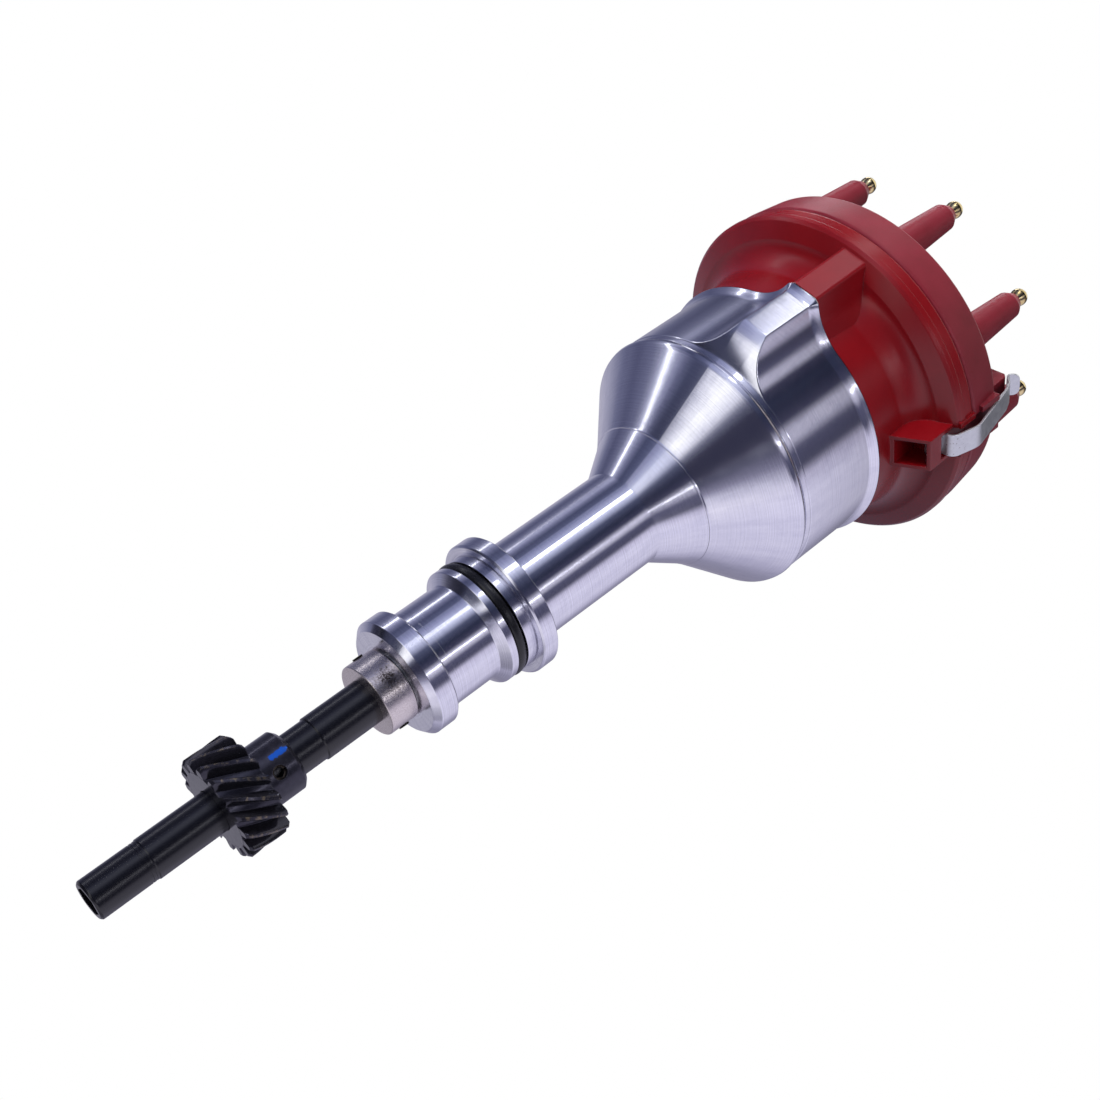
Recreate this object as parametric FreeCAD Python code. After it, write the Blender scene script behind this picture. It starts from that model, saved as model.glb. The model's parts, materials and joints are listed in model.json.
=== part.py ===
import FreeCAD, Part
import os
from math import acos, asin, atan2, cos, degrees, hypot, pi, radians, sin, sqrt, tan

# Ignition distributor for a V8 engine. Millimetres, +Z along the shaft towards the cap.
# The origin is on the shaft axis, in the plane of the hold-down flange's underside.

# Drive shaft
shaft_tip_z = -137.7
tip_journal_radius = 5.92
tip_chamfer = 0.6
relief_ring_z = -122.6
relief_ring_width = 0.6
relief_ring_depth = 0.25
gear_shaft_radius = 6.15
gear_seat_radius = 6.32
main_shaft_radius = 6.745
shaft_shoulder_z = -65.9
shoulder_chamfer = 0.4
upper_journal_radius = 7.5
shaft_head_overlap = 1.5
shaft_head_height = 3.0
spindle_radius = 6.3
hex_socket_flats = 7.94
hex_socket_depth = 14.0

# Distributor gear
gear_teeth = 16
gear_front_z = -98.7
gear_face_width = 13.1
gear_outer_radius = 15.6
gear_tooth_depth = 3.4
gear_helix_angle = 33.0
gear_seat_setback = 1.5
gear_tooth_land = 0.30
gear_tooth_base = 0.60
gear_end_chamfer = 0.9
gear_hub_radius = 9.2
gear_hub_length = 11.1
gear_hub_chamfer = 1.2
gear_pin_setback = 6.55
gear_pin_radius = 2.0
gear_pin_angle = -53.0
pin_recess = 1.0
pin_wall = 0.6
pin_slit_half_width = 0.25

# Thrust collar and its washer
collar_length = 9.2
collar_radius = 11.24
collar_edge = 0.35
collar_pin_setback = 4.2
collar_pin_radius = 1.6
collar_pin_angle = 28.0
collar_pin_stand_out = 0.4
thrust_washer_width = 3.0
thrust_washer_thickness = 0.5

# Housing, from the bottom up
pilot_bottom_z = -37.5
pilot_radius = 18.6
pilot_chamfer_width = 2.0
pilot_chamfer_height = 1.9
pilot_top_z = -29.4
waist_radius = 15.65
waist_step_z = -26.3
waist_step_depth = 0.15
waist_top_z = -11.6
seal_ring_radius = 18.7
seal_ring_bottom_z = -9.4
o_ring_groove_bottom_z = -7.1
o_ring_section_radius = 1.75
o_ring_stand_out = 0.25
flange_radius = 21.75
flange_thickness = 5.5
flange_chamfer = 0.6
seat_relief_width = 0.5
seat_relief_depth = 0.4
neck_radius = 15.6
neck_top_z = 52.7
lower_cone_top_z = 66.2
lower_cone_top_radius = 24.3
upper_cone_top_z = 85.7
bell_radius = 42.9
bead_height = 2.3
bead_bulge = 0.3
bead_groove_width = 0.6
bead_groove_depth = 0.8
flare_neck_inset = 0.2
flare_neck_height = 1.8
flare_radius = 26.0
flare_start_slope = 26.5
bell_top_z = 121.3
lip_height = 3.5
lip_edge_height = 0.7
lip_stand_out = 1.5
bell_wall = 3.4
ear_stand_out = 9.9
ear_half_width = 4.5
ear_cove_radius = 23.3
shaft_relief = 1.25

# Inside of the housing
pickup_ledge_height = 4.3
pickup_ledge_width = 8.5
pickup_ledge_thickness = 6.0
bowl_floor_rise = 4.5
bowl_floor_radius = 20.0

# Lower bushing and upper bearing
bushing_wall = 2.7
bushing_length = 28.0
bearing_rise = 6.3
bearing_width = 7.0
bearing_radius = 14.0
race_wall_share = 0.323
ball_radius_share = 0.292
bearing_ball_count = 9
bearing_shield_thickness = 0.5
bearing_shoulder_height = 2.0
snap_ring_thickness = 1.1
snap_ring_bite = 0.7
snap_ring_gap = 30.0
snap_ring_eye_radius = 1.6

# Magnetic pickup
pickup_plate_thickness = 2.0
pickup_plate_bore_radius = 22.5
pickup_screw_inset = 4.1
pickup_screw_count = 3
pickup_screw_radius = 1.5
pickup_screw_depth = 6.0
pickup_screw_turn = 60.0
pickup_angle = 80.0
pickup_coil_width = 24.0
pickup_coil_height = 10.0
pickup_coil_inset = 3.0
pickup_coil_corner = 1.5
pickup_pole_width = 5.0
pickup_pole_height = 5.0
pickup_pole_length = 9.4
pickup_air_gap = 0.6
reluctor_rise = 1.5
reluctor_tooth_count = 8
reluctor_radius = 20.5
reluctor_hub_radius = 13.0
reluctor_thickness = 5.0
reluctor_tooth_width = 3.2
grommet_angle = 132.0
grommet_drop = 1.65
grommet_neck_radius = 5.8
grommet_flange_radius = 7.6
grommet_flange_thickness = 1.6
lead_hole_radius = 1.3
lead_hole_spacing = 5.0

# Centrifugal advance
sleeve_wall = 3.2
weight_plate_height = 14.0
weight_plate_thickness = 2.0
weight_plate_gap = 9.5
weight_pin_circle_radius = 21.0
weight_pin_radius = 2.0
weight_pin_head_stand_out = 1.0
weight_pin_head_height = 1.2
weight_pin_neck_depth = 0.5
weight_thickness = 4.5
weight_inner_radius = 13.0
weight_edge_gap = 2.0
weight_corner_radius = 2.0
weight_start_angle = -10.0
weight_end_angle = 120.0
weight_clip_width = 1.6
weight_clip_thickness = 0.6
weight_clip_play = 0.1
cam_hub_radius = 9.0
cam_lobe_radius = 11.6
cam_lobe_width = 13.0
cam_plate_thickness = 1.5
cam_plate_margin = 1.0
cam_arm_width = 8.0
cam_arm_margin = 3.0
cam_end_play = 0.3
spring_post_circle_radius = 16.0
spring_post_angle = -40.4
spring_post_radius = 1.25
spring_coil_radius = 2.2
spring_wire_radius = 0.4
spring_turns = 6
spring_turn_pitch = 1.3
spring_coil_start = 4.0
spring_loop_play = 0.6
spring_loop_travel = 3.0
advance_range = 10.5
stop_angle = 150.0
stop_inset = 8.2
stop_bushing_radius = 1.8
stop_screw_radius = 1.1
stop_screw_head_height = 1.6
stop_slot_wall = 1.6
cam_screw_radius = 2.5
cam_screw_depth = 8.0
cam_screw_head_stand_out = 1.8
cam_screw_head_height = 3.0
cam_screw_key_radius = 2.3
cam_screw_key_depth = 1.6
cam_washer_stand_out = 2.0
cam_washer_thickness = 0.8

# Rotor
rotor_post_angle = -35.0
rotor_post_inset = 3.2
rotor_post_radius = 2.5
rotor_base_gap = 0.5
rotor_base_stand_out = 0.3
rotor_base_thickness = 3.0
rotor_column_radius = 13.0
rotor_column_foot = 3.0
rotor_column_foot_height = 6.0
rotor_column_taper = 1.5
rotor_hollow_depth = 9.0
rotor_screw_radius = 1.5
rotor_arm_depth = 4.0
rotor_arm_setback = 3.0
rotor_web_half_width = 1.5
rotor_tail_length = 8.0
blade_drop = 14.8
blade_thickness = 1.2
blade_width = 9.0
blade_tail = 6.0
blade_tip_length = 4.0
blade_tip_overhang = 2.5
contact_strip_width = 5.0
contact_strip_thickness = 0.5
contact_strip_foot = 3.0
contact_strip_reach = 11.0
contact_strip_half_top = 2.5

# Cap adapter
skirt_stand_out = 0.7
skirt_taper = 0.4
skirt_wall = 3.4
skirt_height = 12.2
spigot_depth = 3.0
spigot_wall = 2.8
adapter_flare_radius = 8.5
adapter_lip_height = 23.9
adapter_lip_chamfer = 0.8
adapter_stand_out = 14.2
adapter_ledge_height = 26.0
adapter_ledge_depth = 0.4
adapter_height = 30.4
rim_wall = 4.5
rim_height = 2.6
adapter_shoulder_height = 5.0
adapter_bore_rise = 4.0
spigot_floor_rise = 1.5
boss_lean = 0.9
boss_margin = 1.5
boss_corner = 0.4
boss_side = 0.3
boss_face_inset = 0.2
boss_root_half_width = 13.2
boss_well_radius = 4.6
adapter_screw_inset = 5.3
adapter_screw_radius = 2.45
adapter_screw_head_radius = 4.2
adapter_screw_head_height = 3.0
adapter_screw_seat_height = 5.7
adapter_screw_length = 15.5
adapter_screw_drill_margin = 2.0
adapter_screw_slot_reach = 2.4
adapter_screw_slot_half_width = 0.4
adapter_screw_slot_depth = 1.5

# Cap
cap_inset = 0.3
cap_taper = 1.6
cap_height = 13.3
cap_edge_radius = 1.0
cap_wall = 5.0
cap_ceiling_thickness = 3.5
cap_spigot_depth = 2.5
tower_count = 8
first_tower_angle = 1.75
tower_inset = 9.6
tower_radius = 5.85
tower_fillet = 1.4
tower_top_radius = 4.5
tower_height = 27.8
tower_chamfer = 3.0
tower_mouth_radius = 2.8
ceiling_boss_radius = 5.2
ceiling_boss_height = 5.0
cap_rib_width = 3.0
cap_rib_height = 2.5

# Spark lead terminals
terminal_ball_radius = 2.85
terminal_ball_rise = 2.7
terminal_neck_radius = 1.85
electrode_radius = 3.0
electrode_drop = 16.5
rotor_air_gap = 0.7
button_radius = 2.9
button_height = 8.8
button_rise = 3.0
button_tip_share = 0.6
button_spring_radius = 2.4
button_spring_length = 6.0
button_spring_turns = 6

# Cap clips
clip_angle = -18.0
clip_width = 8.0
clip_thickness = 0.9
clip_pin_inset = 6.3
clip_pin_drop = 6.6
clip_pin_radius = 1.25
clip_pin_blind_wall = 0.5
clip_knee_stand_out = 0.1
clip_bulge_stand_out = 2.9
clip_bulge_rise = 4.6
clip_neck_stand_out = 0.4
clip_neck_rise = 5.0
clip_hook_inset = 1.3
clip_hook_rise = 8.8
clip_hook_tip_inset = 4.0
clip_hook_tip_rise = 12.0
clip_tail_inset = 1.2
clip_tail_rise = 14.6
clip_knee_bend = 3.0
clip_bulge_bend = 8.0
clip_neck_bend = 12.0
clip_hook_bend = 4.0
clip_tip_bend = 1.0
clip_tail_taper = 2.0
lug_half_width = 5.7
lug_reach_margin = 4.0
lug_wall = 1.2
lug_drop = 11.9
lug_slope_rise = 5.9
lug_window_drop = 0.6
channel_step_rise = 3.8
channel_depth = 3.6
clip_rib_width = 2.0
cap_clip_rib_rise = 3.6
clip_rib_stand_out = 0.2
clip_rib_root = 0.5
catch_inner_inset = 10.7
catch_inset = 3.4
catch_height = 11.0
catch_chamfer = 1.2
catch_side_margin = 0.5

# Clearances
running_clearance = 0.05
joint_clearance = 0.3
seat_clearance = 0.02
screw_clearance = 0.15
side_clearance = 0.1
cut_margin = 1.0
small_screw_head_height = 1.8
small_screw_slot_half_width = 0.35

# Heights that follow from the ones above
gear_back_z = gear_front_z + gear_face_width
gear_hub_end_z = gear_back_z + gear_hub_length
gear_pin_z = gear_hub_end_z - gear_pin_setback
collar_back_z = pilot_bottom_z - thrust_washer_thickness - side_clearance
collar_front_z = collar_back_z - collar_length
collar_pin_z = collar_back_z - collar_pin_setback
o_ring_groove_top_z = o_ring_groove_bottom_z + 2 * o_ring_section_radius + 4 * running_clearance
bead_top_z = upper_cone_top_z + bead_height
flare_bottom_z = bead_top_z + bead_groove_width
flare_start_z = flare_bottom_z + flare_neck_height
lip_start_z = bell_top_z - lip_height
bearing_bottom_z = neck_top_z + bearing_rise
bearing_top_z = bearing_bottom_z + bearing_width
bowl_floor_z = bearing_top_z + bowl_floor_rise
pickup_ledge_z = upper_cone_top_z + pickup_ledge_height
pickup_plate_top_z = pickup_ledge_z + pickup_plate_thickness
reluctor_z = pickup_plate_top_z + reluctor_rise
grommet_z = (pickup_ledge_z + bell_top_z) / 2 - grommet_drop
sleeve_bottom_z = bearing_top_z + shaft_head_height + joint_clearance
weight_plate_z = pickup_ledge_z + weight_plate_height
weight_plate_top_z = weight_plate_z + weight_plate_thickness
weight_z = weight_plate_top_z + joint_clearance
cam_z = weight_plate_top_z + joint_clearance
weight_clip_z = weight_z + weight_thickness + weight_clip_play
cam_plate_z = weight_clip_z + weight_clip_thickness + joint_clearance
cam_plate_top_z = cam_plate_z + cam_plate_thickness
spring_z = cam_plate_top_z + spring_coil_radius + spring_wire_radius + joint_clearance
spring_top_z = spring_z + spring_coil_radius + spring_wire_radius
rotor_base_z = spring_top_z + rotor_base_gap
adapter_screw_seat_z = bell_top_z + adapter_screw_seat_height
skirt_top_z = bell_top_z + skirt_height
adapter_lip_z = bell_top_z + adapter_lip_height
adapter_ledge_z = bell_top_z + adapter_ledge_height
adapter_top_z = bell_top_z + adapter_height
cap_top_z = adapter_top_z + cap_height
cap_ceiling_z = cap_top_z - cap_ceiling_thickness
tower_top_z = cap_top_z + tower_height
tower_chamfer_z = tower_top_z - tower_chamfer
terminal_ball_z = tower_top_z + terminal_ball_rise
electrode_bottom_z = cap_top_z - electrode_drop
blade_z = cap_top_z - blade_drop
button_bottom_z = blade_z + blade_thickness + button_rise
button_top_z = button_bottom_z + button_height
coil_shank_bottom_z = button_top_z + button_spring_length
clip_pin_z = adapter_lip_z - clip_pin_drop
clip_strap_z = clip_pin_z + clip_pin_radius + 2 * running_clearance + clip_thickness / 2
clip_bulge_z = adapter_lip_z + clip_bulge_rise
clip_neck_z = cap_top_z + clip_neck_rise
clip_hook_z = cap_top_z + clip_hook_rise
clip_hook_tip_z = cap_top_z + clip_hook_tip_rise
clip_tail_z = cap_top_z + clip_tail_rise
lug_bottom_z = clip_pin_z - lug_drop
lug_window_z = clip_pin_z - lug_window_drop
channel_step_z = clip_pin_z + channel_step_rise
catch_top_z = cap_top_z + catch_height

# Radii and angles that follow from the ones above
gear_root_radius = gear_outer_radius - gear_tooth_depth
shaft_head_radius = upper_journal_radius + shaft_head_overlap
shaft_relief_radius = main_shaft_radius + shaft_relief
bushing_radius = main_shaft_radius + running_clearance + bushing_wall
bearing_pitch_radius = (upper_journal_radius + bearing_radius) / 2
bearing_space = bearing_radius - upper_journal_radius
inner_race_wall = bearing_space * race_wall_share
outer_race_wall = bearing_space * race_wall_share
bearing_ball_radius = bearing_space * ball_radius_share
snap_ring_radius = bearing_radius + snap_ring_bite
thrust_washer_radius = main_shaft_radius + running_clearance + thrust_washer_width
o_ring_center_radius = seal_ring_radius + o_ring_stand_out - o_ring_section_radius
o_ring_groove_radius = o_ring_center_radius - o_ring_section_radius - running_clearance
flare_neck_radius = bell_radius - flare_neck_inset
ear_reach = bell_radius + ear_stand_out
bell_bore_radius = bell_radius - bell_wall
pickup_ledge_bore_radius = bell_bore_radius - pickup_ledge_width
pickup_screw_circle_radius = bell_bore_radius - pickup_screw_inset
sleeve_outer_radius = spindle_radius + sleeve_wall
weight_plate_radius = bell_bore_radius - weight_plate_gap
weight_outer_radius = weight_plate_radius - weight_edge_gap
rotor_base_radius = weight_plate_radius + rotor_base_stand_out
rotor_post_circle_radius = weight_plate_radius - rotor_post_inset
stop_circle_radius = rotor_post_circle_radius - stop_inset
skirt_radius = bell_radius + skirt_stand_out
skirt_top_radius = skirt_radius - skirt_taper
adapter_bore_radius = skirt_top_radius - skirt_wall
adapter_radius = bell_radius + adapter_stand_out
adapter_screw_circle_radius = ear_reach - adapter_screw_inset
boss_reach = ear_reach + boss_margin
boss_top_reach = boss_reach + boss_lean
cap_bottom_radius = adapter_radius - cap_inset
cap_top_radius = cap_bottom_radius - cap_taper
adapter_inner_rim_radius = adapter_radius - rim_wall
spigot_radius = bell_bore_radius - joint_clearance / 2
spigot_bore_radius = spigot_radius - spigot_wall
cap_bore_radius = cap_top_radius - cap_wall
cap_inner_spigot_radius = adapter_inner_rim_radius - joint_clearance
tower_circle_radius = cap_top_radius - tower_inset
blade_angle = first_tower_angle
blade_tip_radius = tower_circle_radius - electrode_radius - rotor_air_gap
clip_pin_circle_radius = adapter_radius - clip_pin_inset
clip_knee_reach = adapter_radius + clip_knee_stand_out
clip_bulge_reach = adapter_radius + clip_bulge_stand_out
clip_neck_reach = cap_top_radius + clip_neck_stand_out
clip_hook_reach = cap_top_radius - clip_hook_inset
clip_hook_tip_reach = cap_top_radius - clip_hook_tip_inset
clip_tail_reach = cap_top_radius - clip_tail_inset
clip_half_channel = clip_width / 2 + joint_clearance + side_clearance
lug_reach = clip_pin_circle_radius + lug_reach_margin
channel_floor_radius = adapter_radius - channel_depth
clip_rib_reach = adapter_radius + clip_rib_stand_out
catch_inner_radius = cap_top_radius - catch_inner_inset
catch_reach = cap_top_radius - catch_inset

origin = FreeCAD.Vector(0, 0, 0)
z_axis = FreeCAD.Vector(0, 0, 1)
ear_angles = (-90.0, 90.0)
clip_angles = (clip_angle, clip_angle + 180.0)


def point(radius, z):
    return FreeCAD.Vector(radius, 0, z)


def outline_wire(start, steps):
    """A closed wire in the XZ plane; a step is a point, or a (through, end) pair for an arc."""
    edges = []
    here = start
    for step in steps:
        if isinstance(step[0], tuple):
            through, end = step
            edges.append(Part.Arc(point(*here), point(*through), point(*end)).toShape())
        else:
            end = step
            edges.append(Part.makeLine(point(*here), point(*end)))
        here = end
    if here != start:
        edges.append(Part.makeLine(point(*here), point(*start)))
    return Part.Wire(edges)


def turned(start, *steps):
    """A solid turned about Z from its half section."""
    face = Part.Face(outline_wire(start, steps))
    return face.revolve(origin, z_axis, 360)


def slab(start, steps, half_width):
    """A plate with its outline in the XZ plane, centred on Y = 0."""
    face = Part.Face(outline_wire(start, steps))
    face.translate(FreeCAD.Vector(0, half_width, 0))
    return face.extrude(FreeCAD.Vector(0, -2 * half_width, 0))


def disc(radius, bottom, top):
    return Part.makeCylinder(radius, top - bottom, FreeCAD.Vector(0, 0, bottom), z_axis)


def ring(outer, inner, bottom, top):
    return disc(outer, bottom, top).cut(disc(inner, bottom - cut_margin, top + cut_margin))


def block(x_low, x_high, half_width, bottom, top):
    corner = FreeCAD.Vector(x_low, -half_width, bottom)
    return Part.makeBox(x_high - x_low, 2 * half_width, top - bottom, corner)


def turned_to(shape, angle):
    """A copy of the shape, turned about Z."""
    copy = shape.copy()
    copy.rotate(origin, z_axis, angle)
    return copy


def moved_to(shape, radius, angle=0.0):
    """A copy of a shape made on the axis, moved out to a radius and turned about Z."""
    copy = shape.copy()
    copy.translate(FreeCAD.Vector(radius, 0, 0))
    return turned_to(copy, angle)


def around(shape, count, first_angle=0.0):
    return [turned_to(shape, first_angle + 360.0 * index / count) for index in range(count)]


def sector(outer, inner, bottom, top, start_angle, end_angle):
    face = Part.Face(outline_wire((inner, bottom), [(outer, bottom), (outer, top), (inner, top)]))
    face.rotate(origin, z_axis, start_angle)
    return face.revolve(origin, z_axis, end_angle - start_angle)


def cross_pin(radius, half_length, z, angle):
    """A cylinder through the axis, square to it."""
    start = FreeCAD.Vector(-half_length, 0, z)
    pin = Part.makeCylinder(radius, 2 * half_length, start, FreeCAD.Vector(1, 0, 0))
    return turned_to(pin, angle)


def joined(shapes):
    """One solid from overlapping or touching ones."""
    result = shapes[0].multiFuse(list(shapes[1:]))
    return result.removeSplitter()


def save(node, shape):
    solids = shape.Solids
    result = solids[0] if len(solids) == 1 else Part.makeCompound(solids)
    result.exportStep("parts/%s.step" % node)
    print("%-22s %2d solid(s) %10.1f mm3" % (node, len(solids), result.Volume))


def save_group(node, shapes):
    save(node, Part.makeCompound([solid for shape in shapes for solid in shape.Solids]))


# Housing

def bell_outline(offset):
    """The milled plan of the bell: a circle with two ears, joined by concave arcs."""
    circle = bell_radius + offset
    reach = ear_reach + offset
    cove_distance = bell_radius + ear_cove_radius
    corner_distance = hypot(ear_reach, ear_half_width)
    opening = acos((cove_distance ** 2 + corner_distance ** 2 - ear_cove_radius ** 2)
                   / (2 * cove_distance * corner_distance))
    cove_angle = atan2(ear_half_width, ear_reach) + opening
    cove_x = cove_distance * cos(cove_angle)
    cove_y = cove_distance * sin(cove_angle)
    cove = ear_cove_radius - offset
    corner_y = cove_y - sqrt(cove ** 2 - (cove_x - reach) ** 2)
    corner = FreeCAD.Vector(reach, corner_y, 0)
    tangent = FreeCAD.Vector(circle * cos(cove_angle), circle * sin(cove_angle), 0)
    toward_corner = atan2(corner_y - cove_y, reach - cove_x)
    toward_tangent = atan2(-cove_y, -cove_x)
    middle = (toward_corner + toward_tangent) / 2
    bend = FreeCAD.Vector(cove_x + cove * cos(middle), cove_y + cove * sin(middle), 0)

    def mirrored(vector, x_sign, y_sign):
        return FreeCAD.Vector(vector.x * x_sign, vector.y * y_sign, 0)

    top = FreeCAD.Vector(0, circle, 0)
    bottom = FreeCAD.Vector(0, -circle, 0)
    edges = []
    for x_sign in (1, -1):
        low = [mirrored(vector, x_sign, -1) for vector in (tangent, bend, corner)]
        high = [mirrored(vector, x_sign, 1) for vector in (corner, bend, tangent)]
        edges.append(Part.Arc(*low).toShape())
        edges.append(Part.makeLine(low[2], high[0]))
        edges.append(Part.Arc(*high).toShape())
    right_top = mirrored(tangent, 1, 1)
    left_top = mirrored(tangent, -1, 1)
    edges.append(Part.Arc(right_top, top, left_top).toShape())
    right_low = mirrored(tangent, 1, -1)
    left_low = mirrored(tangent, -1, -1)
    edges.append(Part.Arc(left_low, bottom, right_low).toShape())
    wire = Part.Wire(Part.__sortEdges__(edges))
    wire.rotate(origin, z_axis, ear_angles[1])
    return wire


def outline_at(offset, z):
    wire = bell_outline(offset)
    wire.translate(FreeCAD.Vector(0, 0, z))
    return wire


def housing_stem():
    """Everything turned below the bell: pilot, seal rings, hold-down flange, neck and cones."""
    pilot_face_radius = pilot_radius - pilot_chamfer_width
    seat_edge_radius = flange_radius - flange_chamfer
    return turned(
        (0, pilot_bottom_z),
        (pilot_face_radius, pilot_bottom_z),
        (pilot_radius, pilot_bottom_z + pilot_chamfer_height),
        (pilot_radius, pilot_top_z - flange_chamfer),
        (pilot_radius - flange_chamfer, pilot_top_z),
        (waist_radius, pilot_top_z),
        (waist_radius, waist_step_z),
        (waist_radius - waist_step_depth, waist_step_z),
        (waist_radius - waist_step_depth, waist_top_z),
        (seal_ring_radius, seal_ring_bottom_z),
        (seal_ring_radius, o_ring_groove_bottom_z),
        (o_ring_groove_radius, o_ring_groove_bottom_z),
        (o_ring_groove_radius, o_ring_groove_top_z),
        (seal_ring_radius, o_ring_groove_top_z),
        (seal_ring_radius, seat_relief_depth),
        (seal_ring_radius + seat_relief_width, seat_relief_depth),
        (seal_ring_radius + seat_relief_width, 0),
        (seat_edge_radius, 0),
        (flange_radius, flange_chamfer),
        (flange_radius, flange_thickness - flange_chamfer / 2),
        (flange_radius - flange_chamfer / 2, flange_thickness),
        (neck_radius, flange_thickness),
        (neck_radius, neck_top_z),
        (lower_cone_top_radius, lower_cone_top_z),
        (bell_radius, upper_cone_top_z),
        ((bell_radius + bead_bulge, (upper_cone_top_z + bead_top_z) / 2), (bell_radius, bead_top_z)),
        (bell_radius - bead_groove_depth, bead_top_z),
        (bell_radius - bead_groove_depth, flare_bottom_z),
        (0, flare_bottom_z))


def housing_bell():
    """The bell's turned flare cut to the milled plan, with the lip round its top."""
    blank_radius = ear_reach + cut_margin
    start_turn = radians(flare_start_slope)
    center_r = flare_neck_radius - flare_radius * sin(start_turn)
    center_z = flare_start_z + flare_radius * cos(start_turn)
    end_turn = asin((blank_radius - center_r) / flare_radius)
    middle_turn = (start_turn + end_turn) / 2
    blank = turned(
        (0, flare_bottom_z),
        (flare_neck_radius, flare_bottom_z),
        (flare_neck_radius, flare_start_z),
        ((center_r + flare_radius * sin(middle_turn), center_z - flare_radius * cos(middle_turn)),
         (blank_radius, center_z - flare_radius * cos(end_turn))),
        (blank_radius, lip_start_z),
        (0, lip_start_z))
    plan = Part.Face(outline_at(0, flare_bottom_z)).extrude(
        FreeCAD.Vector(0, 0, lip_start_z - flare_bottom_z))
    wall = blank.common(plan)
    lip_edge_z = bell_top_z - lip_edge_height
    lip = Part.makeLoft([outline_at(0, lip_start_z), outline_at(lip_stand_out, lip_edge_z)], True, True)
    edge = Part.Face(outline_at(lip_stand_out, lip_edge_z)).extrude(
        FreeCAD.Vector(0, 0, lip_edge_height))
    return [wall, lip, edge]


def housing_cavity():
    """The bore for bushing, shaft and bearing, and the bowl for the pickup and the weights."""
    bushing_top_z = pilot_bottom_z + bushing_length
    shoulder_z = bearing_bottom_z - bearing_shoulder_height
    snap_groove_z = bearing_top_z + seat_clearance
    snap_groove_top_z = snap_groove_z + snap_ring_thickness + running_clearance
    seat_radius = bearing_radius + seat_clearance
    groove_radius = snap_ring_radius + running_clearance
    return turned(
        (0, pilot_bottom_z - cut_margin),
        (bushing_radius + seat_clearance, pilot_bottom_z - cut_margin),
        (bushing_radius + seat_clearance, bushing_top_z),
        (shaft_relief_radius, bushing_top_z + cut_margin),
        (shaft_relief_radius, shoulder_z),
        (bearing_radius - outer_race_wall, shoulder_z),
        (bearing_radius - outer_race_wall, bearing_bottom_z),
        (seat_radius, bearing_bottom_z),
        (seat_radius, snap_groove_z),
        (groove_radius, snap_groove_z),
        (groove_radius, snap_groove_top_z),
        (seat_radius, snap_groove_top_z),
        (seat_radius, bowl_floor_z),
        (bowl_floor_radius, bowl_floor_z),
        (pickup_ledge_bore_radius, pickup_ledge_z - pickup_ledge_thickness),
        (pickup_ledge_bore_radius, pickup_ledge_z),
        (bell_bore_radius, pickup_ledge_z),
        (bell_bore_radius, bell_top_z + cut_margin),
        (0, bell_top_z + cut_margin))


def pickup_screw_holes(radius, bottom, top):
    hole = moved_to(disc(radius, bottom, top), pickup_screw_circle_radius)
    return around(hole, pickup_screw_count, pickup_angle + pickup_screw_turn)


def ear_screw_holes(radius, bottom, top):
    hole = disc(radius, bottom, top)
    return [moved_to(hole, adapter_screw_circle_radius, angle) for angle in ear_angles]


def grommet_bore(radius, start, end):
    """A cylinder along the grommet's axis, from one distance off the shaft axis to another."""
    base = FreeCAD.Vector(start, 0, grommet_z)
    cylinder = Part.makeCylinder(radius, end - start, base, FreeCAD.Vector(1, 0, 0))
    return turned_to(cylinder, grommet_angle)


def housing():
    body = joined([housing_stem()] + housing_bell())
    thread_bottom = adapter_screw_seat_z - adapter_screw_length - adapter_screw_drill_margin
    cuts = [housing_cavity()]
    cuts += ear_screw_holes(adapter_screw_radius + seat_clearance, thread_bottom,
                             bell_top_z + cut_margin)
    cuts += pickup_screw_holes(pickup_screw_radius + seat_clearance,
                               pickup_ledge_z - pickup_screw_depth - joint_clearance,
                               pickup_ledge_z + cut_margin)
    cuts.append(grommet_bore(grommet_neck_radius + running_clearance,
                             bell_bore_radius - 2 * cut_margin, bell_radius + 2 * cut_margin))
    return body.cut(Part.makeCompound(cuts))


def housing_o_ring():
    center_z = o_ring_groove_bottom_z + o_ring_section_radius + 2 * running_clearance
    return Part.makeTorus(o_ring_center_radius, o_ring_section_radius, point(0, center_z), z_axis)


def lower_bushing():
    return ring(bushing_radius, main_shaft_radius + running_clearance, pilot_bottom_z,
                pilot_bottom_z + bushing_length)


# Upper bearing

def ball_track():
    groove_radius = bearing_ball_radius + running_clearance
    middle_z = (bearing_bottom_z + bearing_top_z) / 2
    return Part.makeTorus(bearing_pitch_radius, groove_radius, point(0, middle_z), z_axis)


def bearing_outer_race():
    race = ring(bearing_radius, bearing_radius - outer_race_wall, bearing_bottom_z, bearing_top_z)
    return race.cut(ball_track())


def bearing_inner_race():
    outer = upper_journal_radius + inner_race_wall
    race = ring(outer, upper_journal_radius + seat_clearance, bearing_bottom_z, bearing_top_z)
    return race.cut(ball_track())


def bearing_balls():
    middle_z = (bearing_bottom_z + bearing_top_z) / 2
    ball = Part.makeSphere(bearing_ball_radius, point(bearing_pitch_radius, middle_z))
    return around(ball, bearing_ball_count)


def bearing_shields():
    outer = bearing_radius - outer_race_wall
    inner = upper_journal_radius + inner_race_wall + joint_clearance
    return [ring(outer, inner, bearing_bottom_z, bearing_bottom_z + bearing_shield_thickness),
            ring(outer, inner, bearing_top_z - bearing_shield_thickness, bearing_top_z)]


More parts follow.
